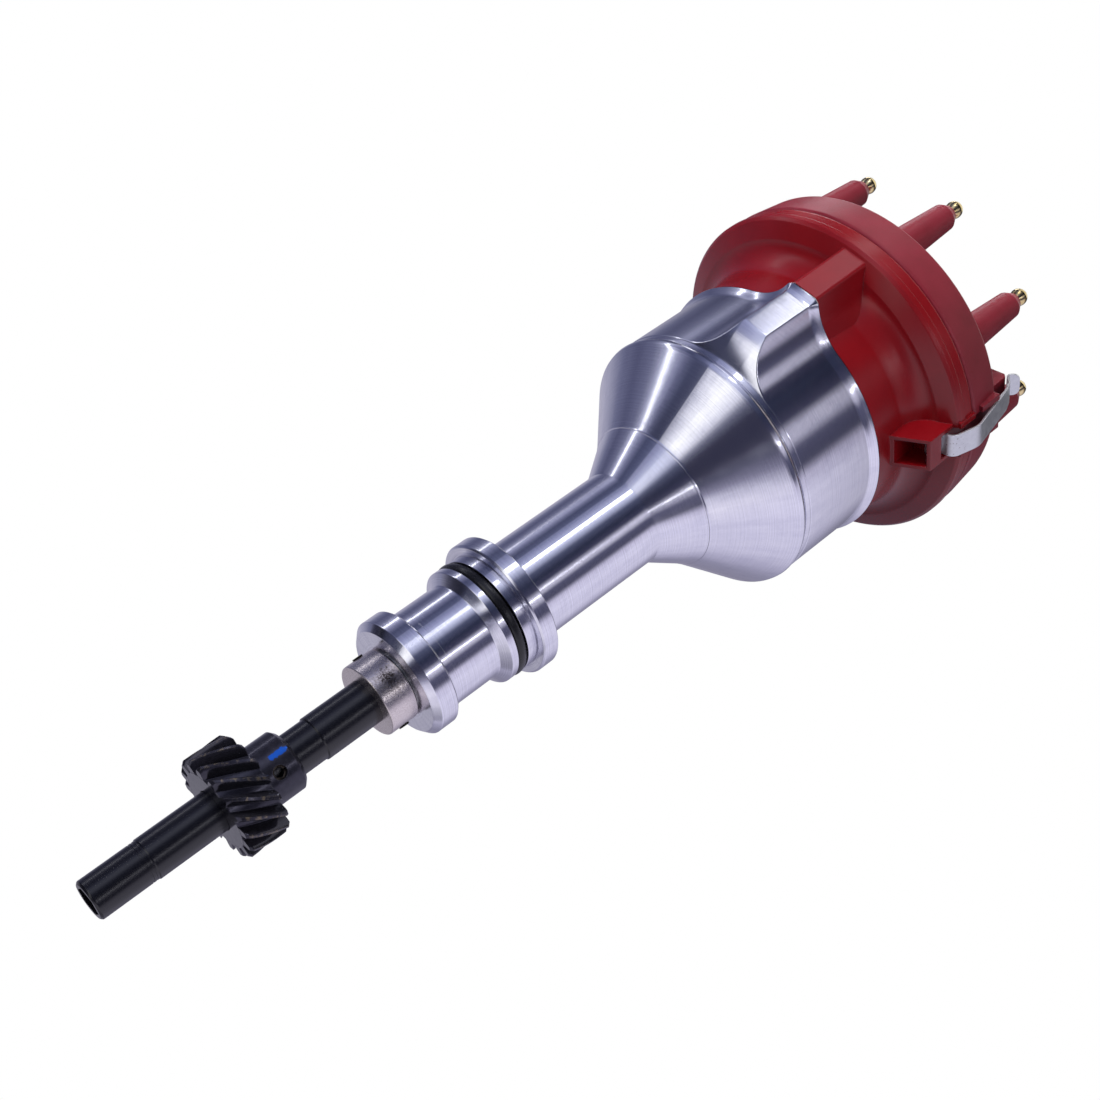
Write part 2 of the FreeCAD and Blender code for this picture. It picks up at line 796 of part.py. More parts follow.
def bearing_snap_ring():
    bottom = bearing_top_z + seat_clearance + running_clearance / 2
    top = bottom + snap_ring_thickness
    half_gap = snap_ring_gap / 2
    band = sector(snap_ring_radius, bearing_radius - snap_ring_bite, bottom, top, half_gap,
                  360 - half_gap)
    eye_circle = bearing_radius - snap_ring_eye_radius
    eye = disc(snap_ring_eye_radius, bottom, top)
    hole = disc(snap_ring_eye_radius / 2, bottom - cut_margin, top + cut_margin)
    eyes = [moved_to(eye, eye_circle, angle) for angle in (half_gap, -half_gap)]
    holes = [moved_to(hole, eye_circle, angle) for angle in (half_gap, -half_gap)]
    return joined([band] + eyes).cut(Part.makeCompound(holes))


# Magnetic pickup

def pickup_plate():
    outer = bell_bore_radius - joint_clearance
    plate = ring(outer, pickup_plate_bore_radius, pickup_ledge_z, pickup_plate_top_z)
    holes = pickup_screw_holes(pickup_screw_radius + screw_clearance, pickup_ledge_z - cut_margin,
                               pickup_plate_top_z + cut_margin)
    return plate.cut(Part.makeCompound(holes))


def small_screw(radius, bottom, seat):
    """A slotted cheese-head screw on the axis, from the end of its shank to its head."""
    shank = disc(radius, bottom, seat)
    head = disc(2 * radius, seat, seat + small_screw_head_height)
    slot = block(-4 * radius, 4 * radius, small_screw_slot_half_width,
                 seat + small_screw_head_height / 2, seat + 2 * small_screw_head_height)
    return shank.fuse(head).cut(slot)


def pickup_screws():
    screw = small_screw(pickup_screw_radius, pickup_ledge_z - pickup_screw_depth, pickup_plate_top_z)
    whole = moved_to(screw, pickup_screw_circle_radius)
    return around(whole, pickup_screw_count, pickup_angle + pickup_screw_turn)


def pickup_pole_z():
    return reluctor_z + (reluctor_thickness - pickup_pole_height) / 2


def pickup_pole():
    """The iron pole piece whose curved end faces the reluctor's teeth."""
    face_radius = reluctor_radius + pickup_air_gap
    bottom = pickup_pole_z()
    top = bottom + pickup_pole_height
    bar = block(face_radius - cut_margin, face_radius + pickup_pole_length, pickup_pole_width / 2,
                bottom, top)
    bar = bar.cut(disc(face_radius, bottom - cut_margin, top + cut_margin))
    return turned_to(bar, pickup_angle)


def pickup_coil():
    """The moulded coil and magnet case that stands on the plate and holds the pole piece."""
    case_inner = pickup_plate_bore_radius + cut_margin
    case_outer = bell_bore_radius - pickup_coil_inset
    case = block(case_inner, case_outer, pickup_coil_width / 2, pickup_plate_top_z,
                 pickup_plate_top_z + pickup_coil_height)
    case = case.common(disc(case_outer, pickup_ledge_z, weight_plate_z))
    upright = [edge for edge in case.Edges if abs(edge.tangentAt(edge.FirstParameter).z) > 0.99]
    case = case.makeFillet(pickup_coil_corner, upright)
    case = turned_to(case, pickup_angle)
    return case.cut(pickup_pole())


def reluctor_wheel():
    """The star wheel with one tooth for each cylinder."""
    top = reluctor_z + reluctor_thickness
    hub = disc(reluctor_hub_radius, reluctor_z, top)
    tooth = block(sleeve_outer_radius + cut_margin, reluctor_radius + cut_margin,
                  reluctor_tooth_width / 2, reluctor_z, top)
    teeth = around(tooth, reluctor_tooth_count, pickup_angle)
    star = joined([hub] + teeth).common(disc(reluctor_radius, reluctor_z, top))
    return star.cut(disc(sleeve_outer_radius + seat_clearance, reluctor_z - cut_margin,
                         top + cut_margin))


def harness_grommet():
    """The rubber lead outlet in the bell wall, moulded to the wall on both sides."""
    low = grommet_z - 2 * grommet_flange_radius
    high = grommet_z + 2 * grommet_flange_radius
    outside = grommet_bore(grommet_flange_radius, bell_radius - 2 * cut_margin,
                           bell_radius + grommet_flange_thickness)
    outside = outside.cut(disc(bell_radius + seat_clearance, low, high))
    neck = grommet_bore(grommet_neck_radius, bell_bore_radius - grommet_flange_thickness,
                        bell_radius + grommet_flange_thickness)
    inside = grommet_bore(grommet_flange_radius - joint_clearance,
                          bell_bore_radius - grommet_flange_thickness, bell_bore_radius + cut_margin)
    inside = inside.common(disc(bell_bore_radius - seat_clearance, low, high))
    body = joined([neck, outside, inside])
    holes = []
    for side in (-1, 1):
        hole = grommet_bore(lead_hole_radius, bell_radius - cut_margin,
                            bell_radius + 2 * grommet_flange_thickness)
        hole.translate(FreeCAD.Vector(0, 0, side * lead_hole_spacing / 2))
        holes.append(hole)
    return body.cut(Part.makeCompound(holes))


# Shaft, gear and collar

def drive_shaft():
    """The shaft, stepped so that it goes in from the top, with a hex socket in its tip."""
    ring_bottoms = [relief_ring_z, relief_ring_z + 2 * relief_ring_width]
    steps = [(tip_journal_radius - tip_chamfer, shaft_tip_z),
             (tip_journal_radius, shaft_tip_z + tip_chamfer)]
    for bottom in ring_bottoms:
        steps.append((tip_journal_radius, bottom))
        steps.append((tip_journal_radius - relief_ring_depth, bottom))
        steps.append((tip_journal_radius - relief_ring_depth, bottom + relief_ring_width))
        steps.append((tip_journal_radius, bottom + relief_ring_width))
    gear_step_z = gear_front_z + gear_seat_setback
    head_z = bearing_top_z + seat_clearance
    spindle_top_z = cam_plate_top_z - cam_end_play
    steps += [(tip_journal_radius, ring_bottoms[1] + 2 * relief_ring_width),
              (gear_shaft_radius, ring_bottoms[1] + 2.5 * relief_ring_width),
              (gear_shaft_radius, gear_step_z),
              (gear_seat_radius, gear_step_z),
              (gear_seat_radius, shaft_shoulder_z),
              (main_shaft_radius, shaft_shoulder_z + shoulder_chamfer),
              (main_shaft_radius, bearing_bottom_z - bearing_shoulder_height),
              (upper_journal_radius, bearing_bottom_z - bearing_shoulder_height / 2),
              (upper_journal_radius, head_z),
              (shaft_head_radius, head_z),
              (shaft_head_radius, head_z + shaft_head_height),
              (spindle_radius, head_z + shaft_head_height),
              (spindle_radius, spindle_top_z),
              (0, spindle_top_z)]
    body = turned((0, shaft_tip_z), *steps)
    socket_corner = hex_socket_flats / 2 / cos(pi / 6)
    corners = [FreeCAD.Vector(socket_corner * cos(radians(60 * index)),
                              socket_corner * sin(radians(60 * index)), shaft_tip_z - cut_margin)
               for index in range(7)]
    socket = Part.Face(Part.makePolygon(corners)).extrude(
        FreeCAD.Vector(0, 0, hex_socket_depth + cut_margin))
    cuts = [socket,
            cross_pin(gear_pin_radius + seat_clearance, gear_hub_radius, gear_pin_z, gear_pin_angle),
            cross_pin(collar_pin_radius + seat_clearance, collar_radius, collar_pin_z,
                      collar_pin_angle),
            disc(cam_screw_radius + seat_clearance, cam_plate_top_z - cam_screw_depth - cut_margin,
                 cam_plate_top_z)]
    return body.cut(Part.makeCompound(cuts))


def tooth_section(z, turn):
    """One tooth's outline at a height, from below the root to the outer circle."""
    pitch = 2 * pi / gear_teeth
    half_base = pitch * gear_tooth_base / 2
    half_land = pitch * gear_tooth_land / 2
    half_middle = (half_base + half_land) / 2
    root_overlap = 0.6
    flank_bulge = 1.08
    inner = gear_root_radius - root_overlap
    middle = (gear_root_radius + gear_outer_radius) / 2
    outer = gear_outer_radius

    def place(radius, angle):
        return FreeCAD.Vector(radius * cos(turn + angle), radius * sin(turn + angle), z)

    left = Part.Arc(place(inner, -half_base * flank_bulge), place(middle, -half_middle * flank_bulge),
                    place(outer, -half_land)).toShape()
    land = Part.makeLine(place(outer, -half_land), place(outer, half_land))
    right = Part.Arc(place(outer, half_land), place(middle, half_middle * flank_bulge),
                     place(inner, half_base * flank_bulge)).toShape()
    root = Part.makeLine(place(inner, half_base * flank_bulge), place(inner, -half_base * flank_bulge))
    return Part.Wire([left, land, right, root])


def drive_gear():
    """The helical gear with its pinned hub; the teeth are lofted along their helix."""
    sections = []
    section_count = 6
    turn_per_mm = tan(radians(gear_helix_angle)) / gear_outer_radius
    overrun = 0.4
    start_z = gear_front_z - overrun
    span = gear_face_width + 2 * overrun
    for index in range(section_count):
        height = span * index / (section_count - 1)
        sections.append(tooth_section(start_z + height, height * turn_per_mm))
    tooth = Part.makeLoft(sections, True, False)
    root = disc(gear_root_radius, gear_front_z, gear_back_z)
    toothed = joined([root] + around(tooth, gear_teeth))
    chamfer = gear_end_chamfer
    envelope = turned(
        (0, gear_front_z),
        (gear_outer_radius - chamfer, gear_front_z),
        (gear_outer_radius, gear_front_z + chamfer),
        (gear_outer_radius, gear_back_z - chamfer),
        (gear_outer_radius - chamfer, gear_back_z),
        (0, gear_back_z))
    toothed = toothed.common(envelope)
    hub = turned(
        (0, gear_back_z - cut_margin),
        (gear_hub_radius, gear_back_z - cut_margin),
        (gear_hub_radius, gear_hub_end_z - gear_hub_chamfer),
        (gear_hub_radius - gear_hub_chamfer, gear_hub_end_z),
        (0, gear_hub_end_z))
    bore = disc(gear_seat_radius + seat_clearance, gear_front_z - cut_margin,
                gear_hub_end_z + cut_margin)
    pin_hole = cross_pin(gear_pin_radius + seat_clearance, gear_hub_radius + cut_margin, gear_pin_z,
                         gear_pin_angle)
    return joined([toothed, hub]).cut(Part.makeCompound([bore, pin_hole]))


def roll_pin(radius, half_length, z, angle):
    """A slotted spring pin: a tube with a slit along it."""
    beyond = half_length + cut_margin
    tube = cross_pin(radius, half_length, z, 0).cut(cross_pin(radius - pin_wall, beyond, z, 0))
    slit = block(-beyond, beyond, pin_slit_half_width, z, z + 2 * radius)
    return turned_to(tube.cut(slit), angle)


def gear_roll_pin():
    return roll_pin(gear_pin_radius, gear_hub_radius - pin_recess, gear_pin_z, gear_pin_angle)


def thrust_collar():
    edge = collar_edge
    collar = turned(
        (0, collar_front_z),
        (collar_radius - edge, collar_front_z),
        (collar_radius, collar_front_z + edge),
        (collar_radius, collar_back_z - edge),
        (collar_radius - edge, collar_back_z),
        (0, collar_back_z))
    bore = disc(main_shaft_radius + seat_clearance, collar_front_z - cut_margin,
                collar_back_z + cut_margin)
    pin_hole = cross_pin(collar_pin_radius + seat_clearance, collar_radius + cut_margin, collar_pin_z,
                         collar_pin_angle)
    return collar.cut(Part.makeCompound([bore, pin_hole]))


def collar_roll_pin():
    return roll_pin(collar_pin_radius, collar_radius + collar_pin_stand_out, collar_pin_z,
                    collar_pin_angle)


def thrust_washer():
    inner = main_shaft_radius + running_clearance
    bottom = collar_back_z
    return ring(thrust_washer_radius, inner, bottom, bottom + thrust_washer_thickness)


# Centrifugal advance

def advance_sleeve():
    return ring(sleeve_outer_radius, spindle_radius + running_clearance, sleeve_bottom_z,
                weight_plate_z)


def weight_plate():
    """The plate that carries the weights and the rotor, fixed to the top of the sleeve."""
    plate = ring(weight_plate_radius, spindle_radius + running_clearance, weight_plate_z,
                 weight_plate_top_z)
    below = weight_plate_z - cut_margin
    above = weight_plate_top_z + cut_margin
    hole = disc(weight_pin_radius + seat_clearance, below, above)
    post_hole = disc(rotor_screw_radius + seat_clearance, below, above)
    stop_hole = disc(stop_screw_radius + seat_clearance, below, above)
    cuts = [moved_to(hole, weight_pin_circle_radius, angle) for angle in (0, 180)]
    cuts += [moved_to(post_hole, rotor_post_circle_radius, rotor_post_angle + turn)
             for turn in (0, 180)]
    cuts.append(moved_to(stop_hole, stop_circle_radius, stop_angle))
    return plate.cut(Part.makeCompound(cuts))


def weight_pins():
    """Pivot pins with a head under the plate; their tops anchor the springs."""
    head_radius = weight_pin_radius + weight_pin_head_stand_out
    head = disc(head_radius, weight_plate_z - weight_pin_head_height, weight_plate_z)
    shank = disc(weight_pin_radius, weight_plate_z, spring_top_z)
    pin = head.fuse(shank)
    half_neck = spring_wire_radius + joint_clearance
    neck = ring(head_radius, weight_pin_radius - weight_pin_neck_depth, spring_z - half_neck,
                spring_z + half_neck)
    pin = pin.cut(neck)
    return [moved_to(pin, weight_pin_circle_radius, angle) for angle in (0, 180)]


def weight_clips():
    """Retaining washers on the pivot pins, just above the weights."""
    washer = ring(weight_pin_radius + weight_clip_width, weight_pin_radius + seat_clearance,
                  weight_clip_z, weight_clip_z + weight_clip_thickness)
    return [moved_to(washer, weight_pin_circle_radius, angle) for angle in (0, 180)]


def advance_weight(angle):
    """A curved weight on its pivot pin."""
    top = weight_z + weight_thickness
    band = sector(weight_outer_radius, weight_inner_radius, weight_z, top, weight_start_angle,
                  weight_end_angle)
    upright = [edge for edge in band.Edges if abs(edge.tangentAt(edge.FirstParameter).z) > 0.99]
    band = band.makeFillet(weight_corner_radius, upright)
    hole = disc(weight_pin_radius + running_clearance, weight_z - cut_margin, top + cut_margin)
    hole = moved_to(hole, weight_pin_circle_radius)
    return turned_to(band.cut(hole), angle)


def advance_cam():
    """The cam on the shaft's end: lobes between the weights, spring posts and the stop slot."""
    hub = disc(cam_hub_radius, cam_z, cam_plate_z)
    lobes = block(-cam_lobe_radius, cam_lobe_radius, cam_lobe_width / 2, cam_z, cam_plate_z)
    lobes = lobes.common(disc(cam_lobe_radius, cam_z, cam_plate_z))
    arm_reach = spring_post_circle_radius + cam_arm_margin
    arms = turned_to(block(-arm_reach, arm_reach, cam_arm_width / 2, cam_plate_z, cam_plate_top_z),
                     spring_post_angle)
    middle = disc(cam_hub_radius + cam_plate_margin, cam_plate_z, cam_plate_top_z)
    half_slot = stop_bushing_radius + joint_clearance
    half_slot_angle = degrees(half_slot / stop_circle_radius)
    slot_start = stop_angle - half_slot_angle
    slot_end = stop_angle + advance_range + half_slot_angle
    wall_angle = degrees(stop_slot_wall / stop_circle_radius)
    lobe = sector(stop_circle_radius + half_slot + stop_slot_wall, cam_hub_radius, cam_plate_z,
                  cam_plate_top_z, slot_start - wall_angle, slot_end + wall_angle)
    slot = sector(stop_circle_radius + half_slot, stop_circle_radius - half_slot,
                  cam_plate_z - cut_margin, cam_plate_top_z + cut_margin, slot_start, slot_end)
    body = joined([hub, lobes, arms, middle, lobe]).cut(slot)
    bore = disc(spindle_radius + seat_clearance, cam_z - cut_margin, cam_plate_top_z + cut_margin)
    post = disc(spring_post_radius, cam_plate_z, spring_top_z)
    posts = [moved_to(post, spring_post_circle_radius, spring_post_angle + turn)
             for turn in (0, 180)]
    return joined([body.cut(bore)] + posts)


def cam_screw():
    """The screw that holds the cam down on the shaft's end."""
    washer_top = cam_plate_top_z + cam_washer_thickness
    head_top = washer_top + cam_screw_head_height
    key_floor = head_top - cam_screw_key_depth
    washer = disc(spindle_radius + cam_washer_stand_out, cam_plate_top_z, washer_top)
    head = disc(cam_screw_radius + cam_screw_head_stand_out, washer_top, head_top)
    shank = disc(cam_screw_radius, cam_plate_top_z - cam_screw_depth, washer_top)
    key = Part.makePolygon([FreeCAD.Vector(cam_screw_key_radius * cos(radians(60 * index)),
                                           cam_screw_key_radius * sin(radians(60 * index)), key_floor)
                            for index in range(7)])
    socket = Part.Face(key).extrude(FreeCAD.Vector(0, 0, 2 * cam_screw_key_depth))
    return joined([washer, head, shank]).cut(socket)


def advance_stop():
    """The stop bushing that runs in the cam's slot."""
    return moved_to(ring(stop_bushing_radius, stop_screw_radius + seat_clearance, weight_plate_top_z,
                         cam_plate_top_z), stop_circle_radius, stop_angle)


def stop_screw():
    head = disc(2 * stop_screw_radius, weight_plate_z - stop_screw_head_height, weight_plate_z)
    shank = disc(stop_screw_radius, weight_plate_z, cam_plate_top_z)
    return moved_to(head.fuse(shank), stop_circle_radius, stop_angle)


def loop_plate(start, eye, radius, thickness):
    """A flat plate along Z with its end rounded about the eye."""
    low = min(start, eye)
    plate = Part.makeBox(thickness, 2 * radius, abs(eye - start),
                         FreeCAD.Vector(-thickness / 2, -radius, low))
    eye_start = FreeCAD.Vector(-thickness / 2, 0, eye)
    return plate.fuse(Part.makeCylinder(radius, thickness, eye_start, FreeCAD.Vector(1, 0, 0)))


def wire_loop(coil_end, eye, half_gap):
    """A flat wire loop from the coil's end round a post at the eye."""
    wire = 2 * spring_wire_radius
    away = wire if eye > coil_end else -wire
    outside = loop_plate(coil_end - away / 2, eye, half_gap + wire, wire)
    return outside.cut(loop_plate(coil_end + away, eye, half_gap, 2 * wire))


def coil_form(radius, bottom, length, turns):
    """A close-wound coil about Z, turned as a tube with a rounded step for each turn of wire."""
    pitch = length / turns
    valley = radius + spring_wire_radius / 3
    crest = radius + spring_wire_radius
    inner = radius - spring_wire_radius
    steps = [((crest, bottom + pitch * (turn + 0.5)), (valley, bottom + pitch * (turn + 1)))
             for turn in range(turns)]
    steps += [(inner, bottom + length), (inner, bottom)]
    return turned((valley, bottom), *steps)


def spring_between(start, end):
    """A tension spring that lies level between two posts; its far loop is long enough for
    the post to travel in."""
    along = end.sub(start)
    coil_length = 2 * spring_wire_radius * spring_turns * spring_turn_pitch
    coil_end = spring_coil_start + coil_length
    coil = coil_form(spring_coil_radius, spring_coil_start, coil_length, spring_turns)
    near_loop = wire_loop(spring_coil_start, 0, weight_pin_radius + running_clearance)
    far_loop = wire_loop(coil_end, along.Length + spring_loop_travel,
                         spring_post_radius + spring_loop_play)
    body = joined([coil, near_loop, far_loop])
    body.rotate(origin, FreeCAD.Vector(0, 1, 0), 90)
    body.rotate(origin, z_axis, degrees(atan2(along.y, along.x)))
    body.translate(start)
    return body


def advance_springs():
    """The two springs between the weight pins and the posts on the cam."""
    post_angle = radians(spring_post_angle)
    start = FreeCAD.Vector(weight_pin_circle_radius, 0, spring_z)
    end = FreeCAD.Vector(spring_post_circle_radius * cos(post_angle),
                         spring_post_circle_radius * sin(post_angle), spring_z)
    spring = spring_between(start, end)
    return [turned_to(spring, turn) for turn in (0, 180)]


# Rotor

def rotor_posts():
    post = ring(rotor_post_radius, rotor_screw_radius + seat_clearance, weight_plate_top_z,
                rotor_base_z)
    return [moved_to(post, rotor_post_circle_radius, rotor_post_angle + turn) for turn in (0, 180)]


def rotor_screws():
    screw = small_screw(rotor_screw_radius, weight_plate_z, rotor_base_z + rotor_base_thickness)
    return [moved_to(screw, rotor_post_circle_radius, rotor_post_angle + turn) for turn in (0, 180)]


def rotor():
    """The moulded rotor: a hollow base, a ribbed column and the arm under the blade."""
    base_top = rotor_base_z + rotor_base_thickness
    base = disc(rotor_base_radius, rotor_base_z, base_top)
    column = turned(
        (0, rotor_base_z),
        (rotor_column_radius + rotor_column_foot, rotor_base_z),
        (rotor_column_radius + rotor_column_foot, base_top),
        (rotor_column_radius, base_top + rotor_column_foot_height),
        (rotor_column_radius - rotor_column_taper, blade_z),
        (0, blade_z))
    arm_bottom = blade_z - rotor_arm_depth
    arm_half_width = blade_width / 2 + rotor_web_half_width
    arm = block(0, blade_tip_radius - rotor_arm_setback, arm_half_width, arm_bottom, blade_z)
    web_root = rotor_column_radius - rotor_arm_depth
    web_low = base_top - cut_margin / 2
    web_high = arm_bottom + cut_margin / 2
    web_steps = [(rotor_base_radius - rotor_arm_depth, web_low),
                 (blade_tip_radius - 2 * rotor_arm_setback, web_high),
                 (web_root, web_high)]
    web = slab((web_root, web_low), web_steps, rotor_web_half_width)
    tail = block(0, rotor_column_radius + rotor_tail_length, blade_width / 2, arm_bottom, blade_z)
    tail = turned_to(tail, 180)
    body = joined([base, column] + [turned_to(piece, blade_angle) for piece in (arm, web, tail)])
    hollow_top = rotor_base_z + rotor_hollow_depth
    hollow = turned(
        (0, rotor_base_z - cut_margin),
        (rotor_column_radius, rotor_base_z - cut_margin),
        (rotor_column_radius - rotor_column_foot, hollow_top),
        (0, hollow_top))
    screw_hole = disc(rotor_screw_radius + screw_clearance, rotor_base_z - cut_margin,
                      base_top + cut_margin)
    holes = [moved_to(screw_hole, rotor_post_circle_radius, rotor_post_angle + turn)
             for turn in (0, 180)]
    return body.cut(Part.makeCompound([hollow] + holes))


def rotor_blade():
    """The brass blade, wider at its tip so that it faces a terminal through the advance range."""
    top = blade_z + blade_thickness
    strip = block(-blade_tail, blade_tip_radius, blade_width / 2, blade_z, top)
    tip = block(blade_tip_radius - blade_tip_length, blade_tip_radius + cut_margin,
                blade_width / 2 + blade_tip_overhang, blade_z, top)
    blade = joined([strip, tip]).common(disc(blade_tip_radius, blade_z, top))
    return turned_to(blade, blade_angle)


def rotor_contact_spring():
    """The bent strip that the carbon button presses on."""
    top = button_bottom_z - running_clearance
    foot = blade_z + blade_thickness
    sheet = contact_strip_thickness
    end = contact_strip_reach + contact_strip_foot
    half_top = contact_strip_half_top
    slant = sheet / 2
    strip = slab((end, foot),
                 [(end, foot + sheet), (contact_strip_reach, foot + sheet), (half_top, top),
                  (-half_top, top), (-half_top, top - sheet), (half_top - slant, top - sheet),
                  (contact_strip_reach - slant, foot)],
                 contact_strip_width / 2)
    return turned_to(strip, blade_angle)


# Cap adapter

def boss_block(bottom, top):
    """The wedge that continues a housing ear up the adapter's skirt; it leans out slightly."""

    def section(reach, z):
        root = skirt_top_radius - skirt_wall + skirt_taper
        side = ear_half_width + boss_side
        face = ear_half_width - boss_face_inset
        corners = [(root, -boss_root_half_width), (reach - boss_corner, -side), (reach, -face),
                   (reach, face), (reach - boss_corner, side), (root, boss_root_half_width)]
        vectors = [FreeCAD.Vector(x, y, z) for x, y in corners]
        return Part.makePolygon(vectors + vectors[:1])

    return Part.makeLoft([section(boss_reach, bottom), section(boss_top_reach, top)], True, True)


def clip_lug():
    """The pocketed lug that carries a clip's pivot pin."""
    root = adapter_bore_radius + skirt_wall / 2
    slope_end_z = lug_bottom_z + lug_slope_rise
    return slab((root, lug_bottom_z),
                [(lug_reach, slope_end_z), (lug_reach, adapter_lip_z), (root, adapter_lip_z)],
                lug_half_width)


def lug_pocket():
    """The moulded pocket up through the lug."""
    half = lug_half_width - lug_wall
    return block(skirt_radius + skirt_stand_out, lug_reach - lug_wall, half,
                 lug_bottom_z - lug_slope_rise, clip_pin_z)


def clip_channel():
    """The slot in lug and rim that the clip swings in."""
    half = clip_half_channel
    far = clip_bulge_reach + clip_bulge_bend
    eye_room = clip_pin_circle_radius - clip_pin_radius - clip_thickness - 2 * joint_clearance
    lower = block(eye_room, far, half, lug_window_z, channel_step_z)
    upper = block(channel_floor_radius, far, half, lug_window_z, clip_tail_z)
    return lower.fuse(upper)


def clip_ribs(bottom, top, inner):
    """The two flat ribs beside a clip."""
    outer = clip_half_channel + clip_rib_width
    both = block(inner, clip_rib_reach, outer, bottom, top)
    return both.cut(block(inner - cut_margin, clip_rib_reach + cut_margin, clip_half_channel,
                          bottom - cut_margin, top + cut_margin))


def clip_pin_rod(radius, near, far):
    """A rod along the pivot pin's line, reaching this far to each side of the clip's middle."""
    start = FreeCAD.Vector(clip_pin_circle_radius, -near, clip_pin_z)
    return Part.makeCylinder(radius, near + far, start, FreeCAD.Vector(0, 1, 0))


def adapter_inside_line():
    """The line of the adapter's inside, from the spigot's bore up to the rim."""
    return [(spigot_bore_radius, bell_top_z + spigot_floor_rise),
            (adapter_bore_radius, bell_top_z + adapter_shoulder_height),
            (adapter_bore_radius, skirt_top_z + adapter_bore_rise),
            (adapter_inner_rim_radius, adapter_top_z - rim_height)]


def adapter_shell():
    """The turned form of the adapter, outside and inside."""
    center_r = skirt_top_radius + adapter_flare_radius
    diagonal = adapter_flare_radius * sin(pi / 4)
    ledge_radius = adapter_radius - adapter_ledge_depth
    return turned(
        (spigot_bore_radius, bell_top_z - spigot_depth),
        (spigot_radius, bell_top_z - spigot_depth),
        (spigot_radius, bell_top_z),
        (skirt_radius, bell_top_z),
        (skirt_top_radius, skirt_top_z),
        ((center_r - diagonal, skirt_top_z + diagonal),
         (center_r, skirt_top_z + adapter_flare_radius)),
        (adapter_radius - adapter_lip_chamfer, adapter_lip_z - adapter_lip_chamfer),
        (adapter_radius, adapter_lip_z),
        (adapter_radius, adapter_ledge_z),
        (ledge_radius, adapter_ledge_z),
        (ledge_radius, adapter_top_z),
        (adapter_inner_rim_radius, adapter_top_z),
        *reversed(adapter_inside_line()))


def cap_adapter():
    shell = adapter_shell()
    bosses = [turned_to(boss_block(bell_top_z, adapter_lip_z), angle) for angle in ear_angles]
    lugs = [turned_to(clip_lug(), angle) for angle in clip_angles]
    ribs = clip_ribs(adapter_lip_z - adapter_lip_chamfer, adapter_top_z,
                     channel_floor_radius - clip_rib_root)
    ribs = [turned_to(ribs, angle) for angle in clip_angles]
    body = joined([shell] + bosses + lugs + ribs)
    below = bell_top_z - spigot_depth - cut_margin
    inside = turned(
        (0, below),
        (spigot_bore_radius, below),
        *adapter_inside_line(),
        (adapter_inner_rim_radius, adapter_top_z + cut_margin),
        (0, adapter_top_z + cut_margin))
    cuts = [inside]
    cuts += ear_screw_holes(boss_well_radius, adapter_screw_seat_z, adapter_top_z)
    cuts += ear_screw_holes(adapter_screw_radius + screw_clearance, bell_top_z - cut_margin,
                            adapter_screw_seat_z + cut_margin)
    slot = lug_pocket().fuse(clip_channel())
    pin_hole = clip_pin_rod(clip_pin_radius + seat_clearance, lug_half_width - clip_pin_blind_wall,
                            lug_half_width + cut_margin)
    cuts += [turned_to(piece, angle) for piece in (slot, pin_hole) for angle in clip_angles]
    return body.cut(Part.makeCompound(cuts))


def adapter_screws():
    """The two screws that hold the adapter down on the housing ears."""
    shank = disc(adapter_screw_radius, adapter_screw_seat_z - adapter_screw_length,
                 adapter_screw_seat_z)
    head_top = adapter_screw_seat_z + adapter_screw_head_height
    head = disc(adapter_screw_head_radius, adapter_screw_seat_z, head_top)
    slot_one = block(-adapter_screw_slot_reach, adapter_screw_slot_reach,
                     adapter_screw_slot_half_width, head_top - adapter_screw_slot_depth,
                     head_top + cut_margin)
    slot_two = turned_to(slot_one, 90)
    screw = shank.fuse(head).cut(slot_one.fuse(slot_two))
    return [moved_to(screw, adapter_screw_circle_radius, angle) for angle in ear_angles]


# Cap

def tower():
    """A tapered lead tower with a fillet round its foot."""
    foot_radius = tower_radius + tower_fillet
    bend = tower_fillet * (1 - sin(pi / 4))
    return turned(
        (0, cap_ceiling_z),
        (foot_radius, cap_ceiling_z),
        (foot_radius, cap_top_z),
        ((tower_radius + bend, cap_top_z + bend), (tower_radius, cap_top_z + tower_fillet)),
        (tower_top_radius, tower_chamfer_z),
        (tower_mouth_radius, tower_top_z),
        (0, tower_top_z))


def ceiling_boss():
    return disc(ceiling_boss_radius, cap_ceiling_z - ceiling_boss_height,
                cap_ceiling_z + cut_margin)


def cap_catch():
    """The block on the cap's top that a clip hooks over."""
    root_z = cap_top_z - cut_margin
    return slab((catch_inner_radius, root_z),
                [(catch_reach, root_z), (catch_reach, catch_top_z - catch_chamfer),
                 (catch_reach - catch_chamfer, catch_top_z), (catch_inner_radius, catch_top_z)],
                clip_width / 2 + catch_side_margin)


